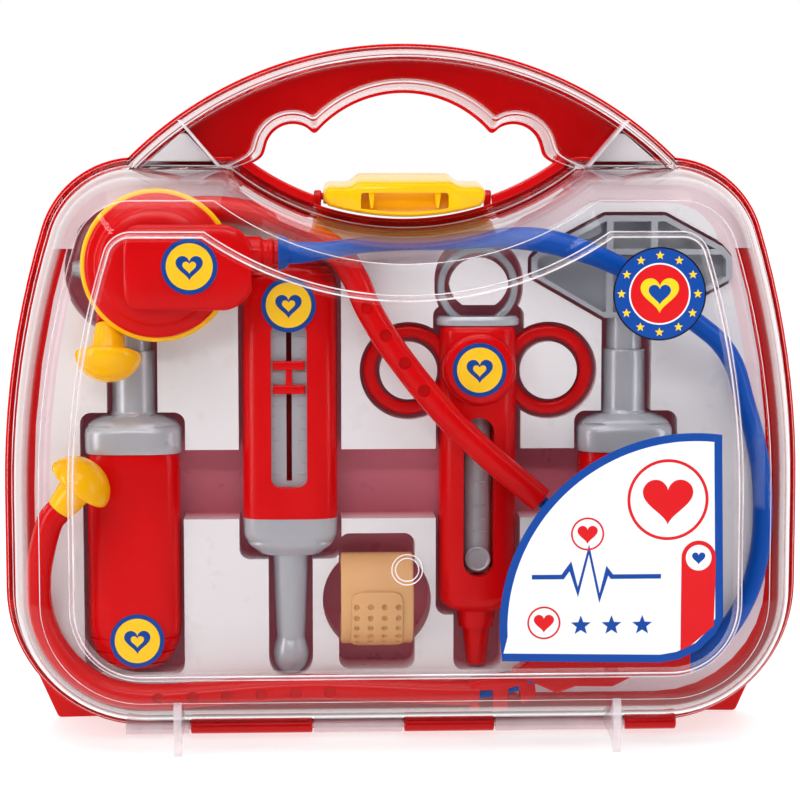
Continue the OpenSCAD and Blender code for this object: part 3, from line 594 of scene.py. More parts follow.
# Right half of the grip hole's edge: the middle arc, a soft cusp, the finger lobe and the flank
def gripEdge(growth):
    gripR, gripZ = handle["grip"][0] + growth, handle["grip"][1]
    lobeR, lobeX, lobeZ = handle["lobe"][0] + growth, handle["lobe"][1], handle["lobe"][2]
    gap = sqrt(lobeX ** 2 + (lobeZ - gripZ) ** 2)
    along = (gripR ** 2 - lobeR ** 2 + gap ** 2) / (2 * gap)
    off = sqrt(gripR ** 2 - along ** 2)
    ux, uz = lobeX / gap, (lobeZ - gripZ) / gap
    cusp = (along * ux - off * uz, gripZ + along * uz + off * ux)
    onGrip = degrees(atan2(cusp[1] - gripZ, cusp[0]))
    onLobe = degrees(atan2(cusp[1] - lobeZ, cusp[0] - lobeX))
    middle = arc(0, gripZ, gripR, 90, onGrip + degrees(handle["cusp"] / gripR), 18)
    lobe = arc(lobeX, lobeZ, lobeR, onLobe - degrees(handle["cusp"] / lobeR), 16, 16)
    bend = roundPath([middle[-1], cusp, lobe[0]], [0, 9, 0], 7)[1:-1]
    flankX, flankZ = handle["flank"]
    end = (handle["corner"] + growth * 1.3, handle["foot"])
    flank = roundPath([lobe[-1], (flankX + growth * 0.95, flankZ + growth * 0.4), end], [0, 6, 0], 6)[1:]
    return middle + bend + lobe + flank


def archOutline(inset, growth):
    radius = handle["radius"] - inset
    low = degrees(asin((handle["foot"] - handle["centre"]) / radius))
    ring = arc(0, handle["centre"], radius, low, 180 - low, 96)
    half = gripEdge(growth)
    return ring + [(-x, z) for x, z in reversed(half[1:])] + half


def archHalf(name, side, lip):
    kind = ("profile", "rounding") if side > 0 else ("clearProfile", "clearRounding")
    path = roundPath(handle[kind[0]], handle[kind[1]])
    return loftRings(name, [[(x, side * y, z) for x, z in archOutline(i + lip, g + lip)] for i, g, y in path])


hinge = {"radius": 2.6, "height": 4, "ends": [-94, -72, -30.5, 0, 31, 75, 93], "gap": 0.5}


def knuckle(name, k):
    left, right = hinge["ends"][k] + hinge["gap"] / 2, hinge["ends"][k + 1] - hinge["gap"] / 2
    height = hinge["height"]
    return rodBetween(name, (left, 0, height), (right, 0, height), hinge["radius"], 32, 0.35)


pullRing = {
    "centre": (25, 3.9, 152.2), "inner": 11.1, "outer": 13.6, "halfDeep": 2.5, "travel": 2.4, "room": 1.1,
}


# Room for the syringe's pull ring when the plunger is drawn
def ringRoom(piece):
    x, z = pullRing["centre"][0], pullRing["centre"][2] + pullRing["travel"]
    drawn = rodBetween("ringRoom", (x, -4, z), (x, 12, z), pullRing["outer"] + pullRing["room"], 64, 0.1)
    return cut(piece, drawn)


# Paths across a wall are inset and depth, from its inner end to its outer end
back = {
    "path": [(13.4, 32.2), (9.8, 29.8), (7.2, 24.6), (5.4, 14), (3.6, 3.2), (3.6, 0),
             (0, 0), (0, 2.2), (1.8, 3.2), (3.6, 14), (5.4, 25), (8, 31.6), (11, 34)],
    "rounding": [0, 2, 1.5, 1.5, 0.6, 0.3, 0.3, 0.9, 0.5, 1.5, 2, 2.2, 0],
    "shelf": [(3.2, 3.3), (9.9, 3.3), (9.9, 4.9), (3.2, 4.9), (3.2, 3.3)],
    "foot": [(80, 0.6), (119.5, 0), (131, 26), (132.4, 42), (117, 62), (93, 20), (80, 12)],
    "footRounding": [0, 1.2, 4, 2, 0, 0, 0], "footDepth": (31.6, 34),
    "earX": 28.4, "earSize": (2.4, 4.2, 6), "pinY": 7, "pinZ": 182.3,
    # Ledge beside the latch: its angles from straight down and its reach past the rim, above and below
    "ledge": ((19.2, 36.6, 0.4), (19.8, 37.4, -2.8)), "ledgeDepth": (-2.6, 3),
}


# Red back shell
def makeBackShell():
    shell = loftRings("backShell", shellRings(roundPath(back["path"], back["rounding"]), 1))
    parts = [shell, archHalf("backArch", 1, 0)]
    parts.append(ringRoom(loftRings("shelf", shellRings(back["shelf"], 1), True)))
    for side in (-1, 1):
        foot = roundPath(mirrored(back["foot"], side), back["footRounding"], 4, True)
        parts.append(flatPlate("cornerFoot", [foot], *back["footDepth"], 0.5))
        x, y, z = side * back["earX"], back["pinY"], back["pinZ"]
        parts.append(rodBetween("latchEar", (x - 1.2, y, z), (x + 1.3, y, z), 2.1, 32, 0.4))
        parts.append(roundedBox("earBlock", (x, y, z - 3), back["earSize"], 0.4, 2))
        parts.append(flatPlate("endWall", [mirrored(handle["wall"], side)], 0.3, 9.6))
        (start, end, above), (lowStart, lowEnd, below) = back["ledge"]
        bar = arc(0, rimCentre, case["rimR"] + above, -90 + side * start, -90 + side * end, 10)
        bar += arc(0, rimCentre, case["rimR"] + below, -90 + side * lowEnd, -90 + side * lowStart, 10)
        parts.append(flatPlate("ledgeBar", [bar], *back["ledgeDepth"], 0.7, 3))
    parts += [knuckle("redKnuckle", k) for k in (1, 3, 5)]
    piece = smooth(join("backShell", parts), 38, True)
    finishPiece(piece, "red", "back_shell")


front = {
    "path": [(26.2, 32.2), (24, 29.4), (14.7, 25.9), (8.8, 21.2), (5.6, 14), (3.6, 3.2), (3.6, 0),
             (0, 0), (0, 2.2), (1.8, 3.2), (4, 14), (7, 22), (13, 27.4), (22.2, 30.4), (23.6, 31),
             (24.8, 34)],
    "rounding": [0, 0.5, 1.2, 1.5, 1.5, 0.6, 0.3, 0.3, 0.8, 0.5, 2.5, 2, 1.2, 0.9, 0.5, 0],
    "face": -34,
    # Fin feet, seen from the side, and how far their middle is from the case's
    "fin": [(-1, 6), (-13, 9.4), (-21, 13), (-26.4, 18.5), (-28.4, 16), (-28.4, 2), (-27.6, 0.5), (-26.4, 0),
            (-25.2, 0.5), (-22.5, 3.4), (-1, 5)],
    "finX": 72, "finShift": -2.9, "finHalf": 1.3,
    # Beads on the lid's edges: inset, depth and radius
    "beads": [(24.75, -33.85, 0.28), (23.1, -31.15, 0.24), (13.2, -27.5, 0.14), (2.0, -3.6, 0.22)],
    # Beads on the handle's rims: inset, growth, depth and radius
    "rimBeads": [(3.6, 2.5, -10.72, 0.25), (1.4, 0.4, -3.4, 0.2)],
    "gate": (-0.3, 62.7), "gateRings": (3.75, 4.95),
}


# Clear front lid
def makeFrontLid():
    lip = case["lip"]
    path = roundPath(front["path"], front["rounding"])
    lid = loftRings("frontLid", [[(x, -y, z) for x, z in lidOutline(inset + lip)] for inset, y in path])
    combine(lid, archHalf("lidArch", -1, lip))
    feet = [knuckle("clearKnuckle", k) for k in (0, 2, 4)]
    for side in (-1, 1):
        fin = roundPath(front["fin"], 0.8, 3, True)
        foot = flatPlate("lidFoot", [fin], -front["finHalf"], front["finHalf"], 0.4)
        foot.rotation_euler = (0, 0, pi / 2)
        foot.location = ((side * front["finX"] + front["finShift"]) * mm, 0, 0)
        feet.append(applyPlace(foot))
    finishPiece(smooth(lid, 38, True), "clear", "front_lid", body="lid")
    # The knuckles and fins are clear plastic; their milky white is partly a painted sheen
    finishPiece(smooth(join("lidFeet", feet), 38), "milky", body="lid")


# A thin round bead that follows an outline
def bead(loopAt, inset, y, radius, count=8):
    rings = []
    for k in range(count + 1):
        a = 2 * pi * k / count
        rings.append([(x, y + radius * sin(a), z) for x, z in loopAt(inset + radius * cos(a))])
    return loftRings("bead", rings, True)


# Beads on the edges of the lid, coloured white as a painted highlight for the light these edges catch: both
# sides of the crease, the flange and the handle's rims
def makeLidEdgeHighlights():
    lip = case["lip"]
    edges = [bead(lidOutline, inset + lip, y, radius) for inset, y, radius in front["beads"]]
    edges += [bead(lambda i: archOutline(inset + i, growth + i), lip, y, radius)
              for inset, growth, y, radius in front["rimBeads"]]
    for side in (-1, 1):
        edges.append(flatPlate("endWall", [mirrored(handle["wall"], side)], -9.4, -0.3, 0.2))
    # The mould's gate, left as two fine rings on the lid's face, white as a painted highlight like the beads
    edges += [bead(lambda i: circleLoop(*front["gate"], ring + i, 48), 0, front["face"], 0.2)
              for ring in front["gateRings"]]
    finishPiece(smooth(join("lidEdgeHighlights", edges), 40), "edge", body="lid")


makeBackShell()
makeFrontLid()
makeLidEdgeHighlights()
print("shells ready")

# The tray's cells beside the handle, and its flange along the top of the case
trayExtras = {
    "cell": [(63, 193.8), (84, 193.8), (73.6, 202.8), (71.6, 203.2)], "cellDepth": (-2.4, 9),
    "flange": [(4.4, 2.3), (11.5, 2.3), (11.5, 3.1), (4.4, 3.1), (4.4, 2.3)], "flangeFrom": 165,
}


# Tray: the CAD's own shape with eased edges
def makeTray():
    tray = easedCopy("formedTray", "tray", 0.45, 3, 50)
    parts = [tray]
    for side in (-1, 1):
        cell = roundPath(mirrored(trayExtras["cell"], side), 1.0, 4, True)
        parts.append(flatPlate("cellSheet", [cell], *trayExtras["cellDepth"], 0.4))
    flange = loftRings("trayFlange", shellRings(trayExtras["flange"], 1), True)
    high = 210
    lower = roundedBox("lowerPart", (0, 2, trayExtras["flangeFrom"] - high / 2), (300, 20, high), 0)
    parts.append(ringRoom(cut(flange, lower)))
    finishPiece(join("formedTray", parts), "tray", "tray")


makeTray()
print("tray ready")

latch = {
    "halfWidth": 26.5, "brow": 16.4, "front": -12, "pinZ": 182.3, "pinY": 7, "barrelR": 2.6,
    # Depth, and the height of the sides and of the brow there
    "rise": [(-12, 185.2, 187.0), (-11.3, 185.3, 187.1), (-9.6, 185.6, 187.4), (-4, 186.2, 188.2),
             (3, 186.9, 189.2), (8.6, 187.3, 190), (10.2, 187, 189.7), (11, 186.4, 189)],
    "inset": [0.9, 0.35, 0, 0, 0, 0, 0.2, 0.9],
    # Half width, radius of the lower edge, height of the top and depth of the floor
    "recess": (14.4, 87.2, 183.6, -6.4),
    "rib": [(9.8, 183.9), (12, 183.9), (11.2, 178.4), (10.4, 178.4)],
}


# Front view of the latch, whose lower edge follows the rim of the case
def latchLoop(inset, sideTop, browTop):
    wide, brow = latch["halfWidth"] - inset, latch["brow"] - inset
    radius = case["rimR"] - 0.8 - inset
    start = degrees(acos((wide - 1.6) / radius))
    low = arc(0, rimCentre, radius, -180 + start, -start, 20)
    right = [(wide, low[-1][1] + 1.8), (wide, sideTop - inset), (brow + 1.4, sideTop - inset),
             (brow - 1.2, browTop - inset)]
    top = roundPath([low[-1]] + right + [(0, browTop - inset)], [0, 1.8, 2.6, 2.2, 1.4, 0], 4)[1:]
    return low + top + [(-x, z) for x, z in reversed(top[:-1])]


def makeLatch():
    rings = [[(x, y, z) for x, z in latchLoop(inset, sideTop, browTop)]
             for (y, sideTop, browTop), inset in zip(latch["rise"], latch["inset"])]
    piece = loftRings("lidLatch", rings)
    under = roundedBox("under", (0, latch["pinY"] + 10, 170.3), (80, 20, 20), 0)
    cut(piece, under)
    wide, low, high, deep = latch["recess"]
    reach = degrees(asin(wide / low))
    face = arc(0, rimCentre, low, -90 - reach, -90 + reach, 16) + [(wide, high), (-wide, high)]
    hollow = flatPlate("hollow", [roundPath(face, [0] * 16 + [0.8, 1.2, 1.2], 3, True)], -14, deep)
    cut(piece, hollow)
    end, pinY, pinZ = latch["halfWidth"], latch["pinY"], latch["pinZ"]
    barrel = rodBetween("barrel", (-end, pinY, pinZ), (end, pinY, pinZ), latch["barrelR"], 40, 0.4)
    parts = [softenEdges(piece, 0.35, 2, 50), barrel]
    for side in (-1, 1):
        rib = mirrored(latch["rib"], side)
        parts.append(flatPlate("rib", [rib], latch["front"] + 0.9, deep + 0.2, 0.3))
    finishPiece(smooth(join("lidLatch", parts), 40), "yellow", "latch", body="latch")


makeLatch()
print("latch ready")


# Hand tools. Sections are height, half width, half depth and squareness
grips = {
    "sections": [(0, 4, 3.4, 2.2), (1.2, 9, 7, 2.4), (4.5, 12.3, 8.8, 2.6), (9, 14.6, 10, 2.8),
                 (14, 15.5, 10.5, 3), (70.7, 15.5, 10.5, 3), (73.7, 15, 10.2, 3)],
    "collar": [(0, 15.9, 10.7, 3), (1.5, 16.2, 10.9, 3), (7.9, 16.2, 10.9, 3), (10.8, 13.9, 8.9, 2.6),
               (12.4, 10, 7, 2.2)],
    "shaft": [(7.2, 0), (7.2, 7.6), (8.1, 8.3), (7.2, 9.4), (7.2, 29.6), (7, 30)],
    "depth": 3, "bottom": 23.5, "collarZ": 97.2, "shaftY": 4.5, "shaftZ": 101.2,
    "otoscopeX": -90.2, "hammerX": 74.6,
}


def makeGrip(name, x):
    rings = barRings(grips["sections"], upright(x, grips["depth"], grips["bottom"]), 72, 3)
    body = smooth(loftRings(name + "Grip", rings), 50)
    finishPiece(body, "toolRed", name + "_grip")
    rings = barRings(grips["collar"], upright(x, grips["depth"], grips["collarZ"]), 72, 1.6)
    collar = loftRings(name + "Collar", rings)
    shaft = turned("shaft", grips["shaft"], ((x, grips["shaftY"], grips["shaftZ"]), (0, 0, 1)), 56, 0.6)
    piece = smooth(join(name + "Collar", [collar, shaft]), 40)
    finishPiece(piece, "silver", name + "_collar")


makeGrip("otoscope", grips["otoscopeX"])
makeGrip("hammer", grips["hammerX"])
for name, node, width in (("hammerHead", "hammer_head", 0.5), ("otoscopeHead", "otoscope_head", 0.6)):
    finishPiece(easedCopy(name, node, width), "silver", node)
print("otoscope and hammer ready")

thermometer = {
    "x": -37.9, "y": 3.9, "z": 75.1, "windowX": -38.2, "windowZ": 85.7, "windowW": 12, "windowL": 54.7,
    "windowR": 3.6, "slitHalf": 1.5, "slitEnd": 2.1,
    "sections": [(0, 15.9, 10, 3.4), (78.8, 15.9, 10, 3.4), (83.8, 14.5, 8.8, 3), (86, 10.9, 6, 2.6),
                 (86.8, 6.9, 3, 2.2)],
    "collar": [(0, 9.9, 6, 2.4), (2.6, 13.3, 8.6, 2.8), (6, 15.6, 10, 3.2), (12.7, 15.9, 10, 3.4)],
    "probe": [(3.0, 21.9), (5.0, 23.6), (6.2, 27.9), (5.4, 31.6), (4.6, 33.6), (4.9, 36), (6, 64.5)],
    "scaleY": -3.1, "sliderZ": 122.5, "marks": 13, "markZ": 4.4, "markStep": 3.8, "markEnd": 5.4,
}


def makeThermometer():
    t = thermometer
    body = loftRings("thermometerBody", barRings(t["sections"], upright(t["x"], t["y"], t["z"]), 96, 2.4))
    x, half, slit = t["windowX"], t["windowW"] / 2, t["slitHalf"]
    low, high = t["windowZ"], t["windowZ"] + t["windowL"]
    opening = rectangle(x - half, low, x + half, high)
    cut(body, flatPlate("window", [roundPath(opening, t["windowR"], 8, True)], -12, -1.6))
    room = rectangle(x - slit, low + t["slitEnd"], x + slit, high - t["slitEnd"])
    cut(body, flatPlate("slitRoom", [room], -3, 7))
    smooth(body, 40)
    finishPiece(body, "toolRed", "thermometer_body")
    tip = loftRings("thermometerTip", barRings(t["collar"], upright(t["x"], t["y"], t["z"] - 12.7), 72, 1.6))
    probe = turned("probe", t["probe"], ((t["x"], t["y"], 0), (0, 0, 1)), 56, 2.2)
    piece = smooth(join("thermometerTip", [tip, probe]), 40)
    finishPiece(piece, "silver", "thermometer_tip")
    # Slider: two bars on a narrow stem, and a blade that runs in the slit
    y, z = t["scaleY"], t["sliderZ"]
    bars = [roundedBox("bar", (x, y - 1.5, z + dz), (10.8, 2.2, 3.0), 0.5) for dz in (-4, 4)]
    bars.append(roundedBox("stem", (x, y - 1.2, z), (2.2, 1.8, 8.4), 0.3))
    bars.append(roundedBox("blade", (x, y + 1.8, z), (1.4, 5, 9.8), 0.2))
    piece = smooth(join("thermometerSlider", bars), 40)
    finishPiece(piece, "toolRed", "thermometer_slider", body="slider")
    # Raised marks on both halves of the scale, every third one long
    marks = []
    for k in range(t["marks"]):
        wide = 1.5 if k % 3 else 2.6
        for side in (-1, 1):
            at = (x + side * (t["markEnd"] - wide / 2), y - 0.05, low + t["markZ"] + t["markStep"] * k)
            marks.append(roundedBox("mark", at, (wide, 0.5, 0.55), 0.12, 1))
    finishPiece(smooth(join("scaleMarks", marks), 40), "silver")


makeThermometer()

# CAD pieces that are carried over as they are
carriedOver = {
    "thermometer_scale": "silver", "hinge_pin": "milky", "latch_pin": "red", "tube_collar": "blue",
    "left_branch_tube": "tubeBlue", "right_branch_tube": "tubeBlue",
}
for node, look in carriedOver.items():
    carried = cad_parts[node]
    carried.data.materials.clear()
    carried.data.materials.append(looks[look])

syringe = {
    "x": 25, "y": 3.9, "z": 45.6, "fingerZ": 124.4, "fingerX": 23.4,
    "barrel": [(-2.6, 8, 7, 2.6), (-1, 11.4, 9, 2.8), (1.5, 13, 10, 3), (92, 13, 10, 3),
               (93.5, 12.2, 9.2, 3)],
    "boss": [(12.3, 0), (12.3, 6.4), (11.4, 7.6), (9.8, 7.9)],
    "fingerRing": rectangle(10.8, -3, 15.1, 3),
    "slotLow": 60.3, "slotHigh": 103.8, "slotR": 5.1, "slotFloor": 3.9, "bore": (54.4, 145, 4.8),
    "rod": [(4.2, 55.6), (4.7, 56.1), (4.7, 139.6), (4.7, 140)],
    "disc": [(0, 13.6, 8.8, 3), (0.5, 14, 9, 3), (2, 14, 9, 3), (3, 13, 8.3, 3)], "discZ": 139.4,
    "knob": [(4.4, 0), (4.4, 1.2), (3.9, 1.7), (3.3, 1.3), (3.2, 1.1)], "knobZ": 60.6,
    "marks": 9, "markZ": 70, "markStep": 4.2,
}


def makeSyringe():
    s = syringe
    x, y = s["x"], s["y"]
    axis = ((x, y, 0), (0, 0, 1))
    barrel = loftRings("syringeBarrel", barRings(s["barrel"], upright(x, y, s["z"]), 80, 1.2))
    boss = turned("boss", s["boss"], ((x, y - 3.55, s["fingerZ"] + 0.6), (0, -1, 0)), 64, 0.8)
    parts = [barrel, boss]
    section = roundPath(s["fingerRing"], 1.4, 4, True)
    for side in (-1, 1):
        parts.append(hoop("fingerRing", (x + side * s["fingerX"], y, s["fingerZ"]), section))
    parts.append(turned("nozzleBase", [(6, 36.9), (6.9, 44.9)], axis, 48, 0.3))
    parts.append(turned("nozzle", [(3.4, 24.2), (4.7, 37.2)], axis, 48, 0.3))
    slot = []
    for z, start in ((s["slotLow"], 180), (s["slotHigh"], 0)):
        slot += arc(x, z, s["slotR"], start, start + 180, 16)
    cut(barrel, flatPlate("slot", [slot], -12, s["slotFloor"]))
    low, high, radius = s["bore"]
    cut(barrel, rodBetween("bore", (x, y, low), (x, y, high), radius, 40, 0.2))
    finishPiece(smooth(join("syringeBarrel", parts), 38), "toolRed", "syringe_barrel")
    rod = turned("syringePlunger", s["rod"], axis, 48, 0.3)
    disc = loftRings("disc", barRings(s["disc"], upright(x, y, s["discZ"]), 72, 0.4))
    inner, outer, deep = pullRing["inner"], pullRing["outer"], pullRing["halfDeep"]
    section = roundPath(rectangle(inner, -deep, outer, deep), 0.9, 4, True)
    pull = hoop("pullRing", pullRing["centre"], section)
    knob = turned("knob", s["knob"], ((x, y - 4.2, s["knobZ"]), (0, -1, 0)), 40, 0.3)
    # Every second mark is short and further right
    marks = [roundedBox("mark", (x + (1.2 if k % 2 else 0.6), y - 4.55, s["markZ"] + s["markStep"] * k),
                        (2.4 if k % 2 else 4.2, 0.7, 0.6), 0.12, 1) for k in range(s["marks"])]
    piece = smooth(join("syringePlunger", [rod, disc, pull, knob] + marks), 38)
    finishPiece(piece, "silver", "syringe_plunger", body="plunger")


makeSyringe()
print("thermometer and syringe ready")

# Plaster cuff: an open sleeve with a dimpled pad on its front
cuff = {
    "x": -9, "y": 1.8, "z": 47.2, "deep": 12.1, "high": 15.4, "wide": 24.3, "thick": 2.2, "opening": 150,
    "padHalf": 8.7, "padRise": 0.9, "padCorner": 3, "padFrom": -74, "padTo": 14,
    "columns": 4, "rows": 5, "dimpleR": 1.05,
}


# Place on the sleeve, by its angle from the front and its depth under the outside
def onSleeve(angle, under):
    a = radians(angle)
    return cuff["y"] - (cuff["deep"] - under) * cos(a), cuff["z"] + (cuff["high"] - under) * sin(a)


def cuffRings(halfWidth, outer, inner, start, end, count):
    rings = []
    for k in range(count + 1):
        wide = halfWidth(k / count)
        section = roundPath(rectangle(-wide, outer, wide, inner),
                            min(0.9, abs(inner - outer) * 0.45), 4, True)
        angle = start + (end - start) * k / count
        rings.append([(cuff["x"] + x, *onSleeve(angle, under)) for x, under in section])
    return rings


# Half width of the pad, which narrows into rounded corners at both ends
def padWidth(t):
    corner = cuff["padCorner"]
    near = min(t, 1 - t) * 24
    if near > corner:
        return cuff["padHalf"]
    return cuff["padHalf"] - corner + sqrt(max(0, corner ** 2 - (corner - near) ** 2))


def makeCuff():
    opening, rise = cuff["opening"], cuff["padRise"]
    sleeve = cuffRings(lambda t: cuff["wide"] / 2, 0, cuff["thick"], -opening, opening, 72)
    band = loftRings("plasterCuff", sleeve)
    pad = cuffRings(padWidth, -rise, cuff["thick"] - 0.5, cuff["padFrom"], cuff["padTo"], 40)
    pad = loftRings("pad", pad)
    dimples = []
    for i in range(cuff["columns"]):
        for j in range(cuff["rows"]):
            at = (cuff["x"] - 7 + i * 14 / 3, *onSleeve(-58 + j * 13.6, -rise))
            clearSelection()
            bpy.ops.mesh.primitive_uv_sphere_add(segments=16, ring_count=10, radius=cuff["dimpleR"] * mm,
                                                 location=[v * mm for v in at])
            dimples.append(applyPlace(bpy.context.object))
    cut(pad, join("dimples", dimples))
    piece = smooth(join("plasterCuff", [band, pad]), 40)
    finishPiece(piece, "skin", "plaster_cuff")


makeCuff()

# Stethoscope
chest = {
    "centre": (-80.7, -15.2, 160.2),
    "rim": [(0.3, 0), (23.9, 0), (24.9, 0.8), (24.9, 1.8), (24, 2.4), (0.3, 2.4)],
    "bell": [(0.3, 2.4), (23.4, 2.4), (23.4, 3.4), (22.6, 4.4), (19.6, 5), (18.8, 6.6), (15.2, 7.4),
             (0.3, 7.4)],
    "block": [(0, 9, 1.6, 3), (1, 12.2, 2.1, 3.2), (3.4, 13.8, 2.3, 3.4), (33, 13.8, 2.3, 3.4),
              (37, 12.2, 2.2, 3.2), (39.6, 9.4, 2, 3), (40.8, 7, 1.6, 3)],
    "neck": [(5.3, 0), (5.3, 8.2), (4.2, 9.2), (4.2, 10.6), (4.7, 11), (4.7, 12.2), (4.2, 12.6), (4.2, 14)],
    "blockX": -90.8, "neckX": -55.4,
    # Route of the tube, with its radius
    "tube": [(-37.95, -19.6, 164.4, 3.7), (-33.95, -19.6, 164.4, 3.5), (-27, -18, 164.9, 2.9),
             (-20, -16.3, 165.8, 2.7), (-13, -10.8, 166.6, 2.7), (-6, -5.4, 167, 2.7), (2, -3.8, 167.2, 2.7),
             (10, -3.5, 167.2, 2.7), (18, -3.5, 167.6, 2.7), (27, -4, 168.2, 3), (36, -6.5, 168.6, 3.6),
             (45, -11.4, 168, 4), (55, -13.6, 165.6, 3.9), (65, -13.8, 162, 3.5), (75, -13.6, 157, 3.3),
             (85, -13.4, 150, 3.3), (95, -13, 141.8, 3.3), (104, -11, 134.6, 3.3), (110, -8.4, 126, 3.3),
             (113.6, -6.6, 115, 3.3), (117, -6, 104, 3.3), (119.6, -5.9, 92, 3.3), (120.6, -5.9, 80, 3.3),
             (120.2, -5.9, 66, 3.3), (117.6, -5.9, 53, 3.3), (112.6, -6.6, 42, 3.3), (106, -9, 34, 3.3),
             (101, -12, 29.6, 3.3), (98, -13.1, 27.8, 3.3), (95.05, -13.1, 27.8, 3.3)],
}


def makeStethoscope():
    y, z = chest["centre"][1:]
    facing = (chest["centre"], (0, -1, 0))
    rim = turned("chestRim", chest["rim"], facing, 96, 0.6)
    finishPiece(smooth(rim, 40), "yellow", "chest_rim")
    bell = turned("chestBell", chest["bell"], facing, 96, 1)
    finishPiece(smooth(bell, 40), "toolRed", "chest_bell")
    where = sideways(chest["blockX"], y - 9.7, z - 0.4)
    block = loftRings("chestCap", barRings(chest["block"], where, 72, 1.4))
    neck = turned("neck", chest["neck"], ((chest["neckX"], y - 4.4, z + 4.2), (1, 0, 0)), 48, 0.4)
    finishPiece(smooth(join("chestCap", [block, neck]), 40), "toolRed", "chest_cap")
    tube = smooth(loftRings("stethTube", rodRings(chest["tube"])), 50)
    finishPiece(tube, "tubeBlue", "steth_tube")
    finishPiece(easedCopy("stethYoke", "steth_yoke", 0.8), "toolRed", "steth_yoke")


makeStethoscope()

arms = {
    "radius": 4.4, "holeR": 2.0, "combDepth": (-11, -2.6),
    "left": [(-113.4, -15.4, 80.2), (-116.6, -15, 76.2), (-119.4, -13.4, 67), (-121.2, -11.2, 57),
             (-121, -8.6, 46), (-117.4, -7.4, 35), (-110.4, -7, 25.4), (-100.4, -7, 18.6), (-89, -7, 16),
             (-76, -7, 16), (-62, -7, 17), (-48, -7, 18), (-32, -7, 18.6), (-14, -7, 18), (4, -7, 17),
             (18, -7, 16.4), (25, -7, 16.2)],
    "right": [(-96.6, -10.2, 141), (-96.4, -8.8, 145.8), (-94, -10.5, 158), (-87, -10.5, 168.4),
              (-76, -7, 176.6), (-61.7, -7, 178.2), (-46, -6.6, 175.6), (-33.8, -6.4, 171.4),
              (-22.4, -8.4, 164.4), (-16.2, -9.8, 155.4), (-12.4, -10.6, 146.4), (-6.8, -11.4, 136.6),
              (-0.3, -12, 127.5), (6.3, -12.6, 119), (16, -12.8, 108), (28, -12.2, 96.6), (40, -11.8, 86.4),
              (45, -11.8, 82)],
    "comb": [(22, 10.8), (25, 11), (25, 17.6), (29.6, 17.8), (29.6, 11.2), (34.7, 11.2), (34.7, 18.2),
             (38.2, 19.2), (39.4, 12.8), (44.2, 15), (43.4, 21.6), (36, 22.6), (22, 20.6)],
    "tip": [(0.3, 0), (4.6, 0), (5.2, 5), (5.8, 9.2), (9.4, 9.3), (10.8, 10), (11, 11.2), (10.4, 13.4),
            (8.6, 16), (5.6, 18.2), (2.6, 19.2), (0.2, 19.4)],
}


def blindHole(x, y, z):
    return rodBetween("drill", (x, y + 1.4, z), (x, y - 6, z), arms["holeR"], 24, 0.2)


def makeArm(name, route, holes):
    arm = loftRings(name, rodRings([(*point, arms["radius"]) for point in route]))
    return cut(arm, join("drills", [blindHole(*hole) for hole in holes]))


def makeArms():
    comb = flatPlate("comb", [roundPath(arms["comb"], 0.5, 3, True)], *arms["combDepth"], 0.5)
    left = makeArm("armLeft", arms["left"], [(-82 + 11.4 * i, -11.4, 16 + 0.32 * i) for i in range(6)])
    left = smooth(join("armLeft", [left, comb]), 45)
    finishPiece(left, "toolRed", "arm_left")
    right = makeArm("armRight", arms["right"],
                    [(-12.6 + 6.2 * i, -15 - 0.5 * i, 146 - 9 * i) for i in range(4)])
    finishPiece(smooth(right, 45), "toolRed", "arm_right")
    tips = {"left": ("earTipLeft", "ear_tip_left"), "right": ("earTipRight", "ear_tip_right")}
    for side, (name, node) in tips.items():
        start, following = [Vector(point) for point in arms[side][:2]]
        along = (start - following).normalized()
        tip = turned(name, arms["tip"], (start + along * 0.05, along), 72, 0.9)
        finishPiece(smooth(tip, 45), "yellow", node)


makeArms()
print("stethoscope and cuff ready")


# Printed parts: each layer of print lies a hair in front of the last
def heartLoop(cx, cz, size, count=40):
    loop = []
    for k in range(count):
        t = 2 * pi * k / count
        loop.append((cx + size * 0.0625 * 16 * sin(t) ** 3,
                     cz + size * 0.0625 * (13 * cos(t) - 5 * cos(2 * t) - 2 * cos(3 * t) - cos(4 * t) + 2)))
    return loop


def strokeLoop(points, wide):
    left, right = [], []
    for k, point in enumerate(points):
        here = Vector(point)
        ahead = Vector(points[min(k + 1, len(points) - 1)]) - here
        back = here - Vector(points[max(k - 1, 0)])
        ahead = ahead if ahead.length else back
        back = back if back.length else ahead
        ahead.normalize()
        back.normalize()
        along = (ahead + back).normalized()
        reach = wide / 2 / max(0.45, along.dot(ahead))
        side = Vector((-along.y, along.x)) * reach
        left.append(tuple(here + side))
        right.append(tuple(here - side))
    return left + right[::-1]


def starLoop(cx, cz, size):
    return [(cx + (size if k % 2 == 0 else size * 0.42) * sin(pi * k / 5),
             cz + (size if k % 2 == 0 else size * 0.42) * cos(pi * k / 5)) for k in range(10)]


def printed(name, layers, face):
    pieces = []
    for k, (look, loops) in enumerate(layers):
        back = face if k == 0 else face - 0.19 - 0.008 * (k - 1)
        layer = flatPlate(name + "Print", loops, face - 0.2 - 0.008 * k, back)
        layer.data.materials.append(looks[look])
        pieces.append(layer)
    return join(name, pieces)


badges = {
    "otoscope_badge": (-89, -7.5, 34.9), "thermometer_badge": (-38.2, -6.1, 146.6),
    "syringe_badge": (25, -7.6, 125), "chest_badge": (-69.8, -27.2, 160.2),
}


def makeBadges():
    for node, (x, y, z) in badges.items():
        layers = [("printBlue", [circleLoop(x, z, 9, 72)]), ("printYellow", [circleLoop(x, z, 7.5, 72)]),
                  ("printBlue", [heartLoop(x, z - 0.4, 4.4)]), ("printYellow", [heartLoop(x, z - 0.3, 2.2)])]
        finishPiece(printed(node.replace("_b", "B"), layers, y), None, node)


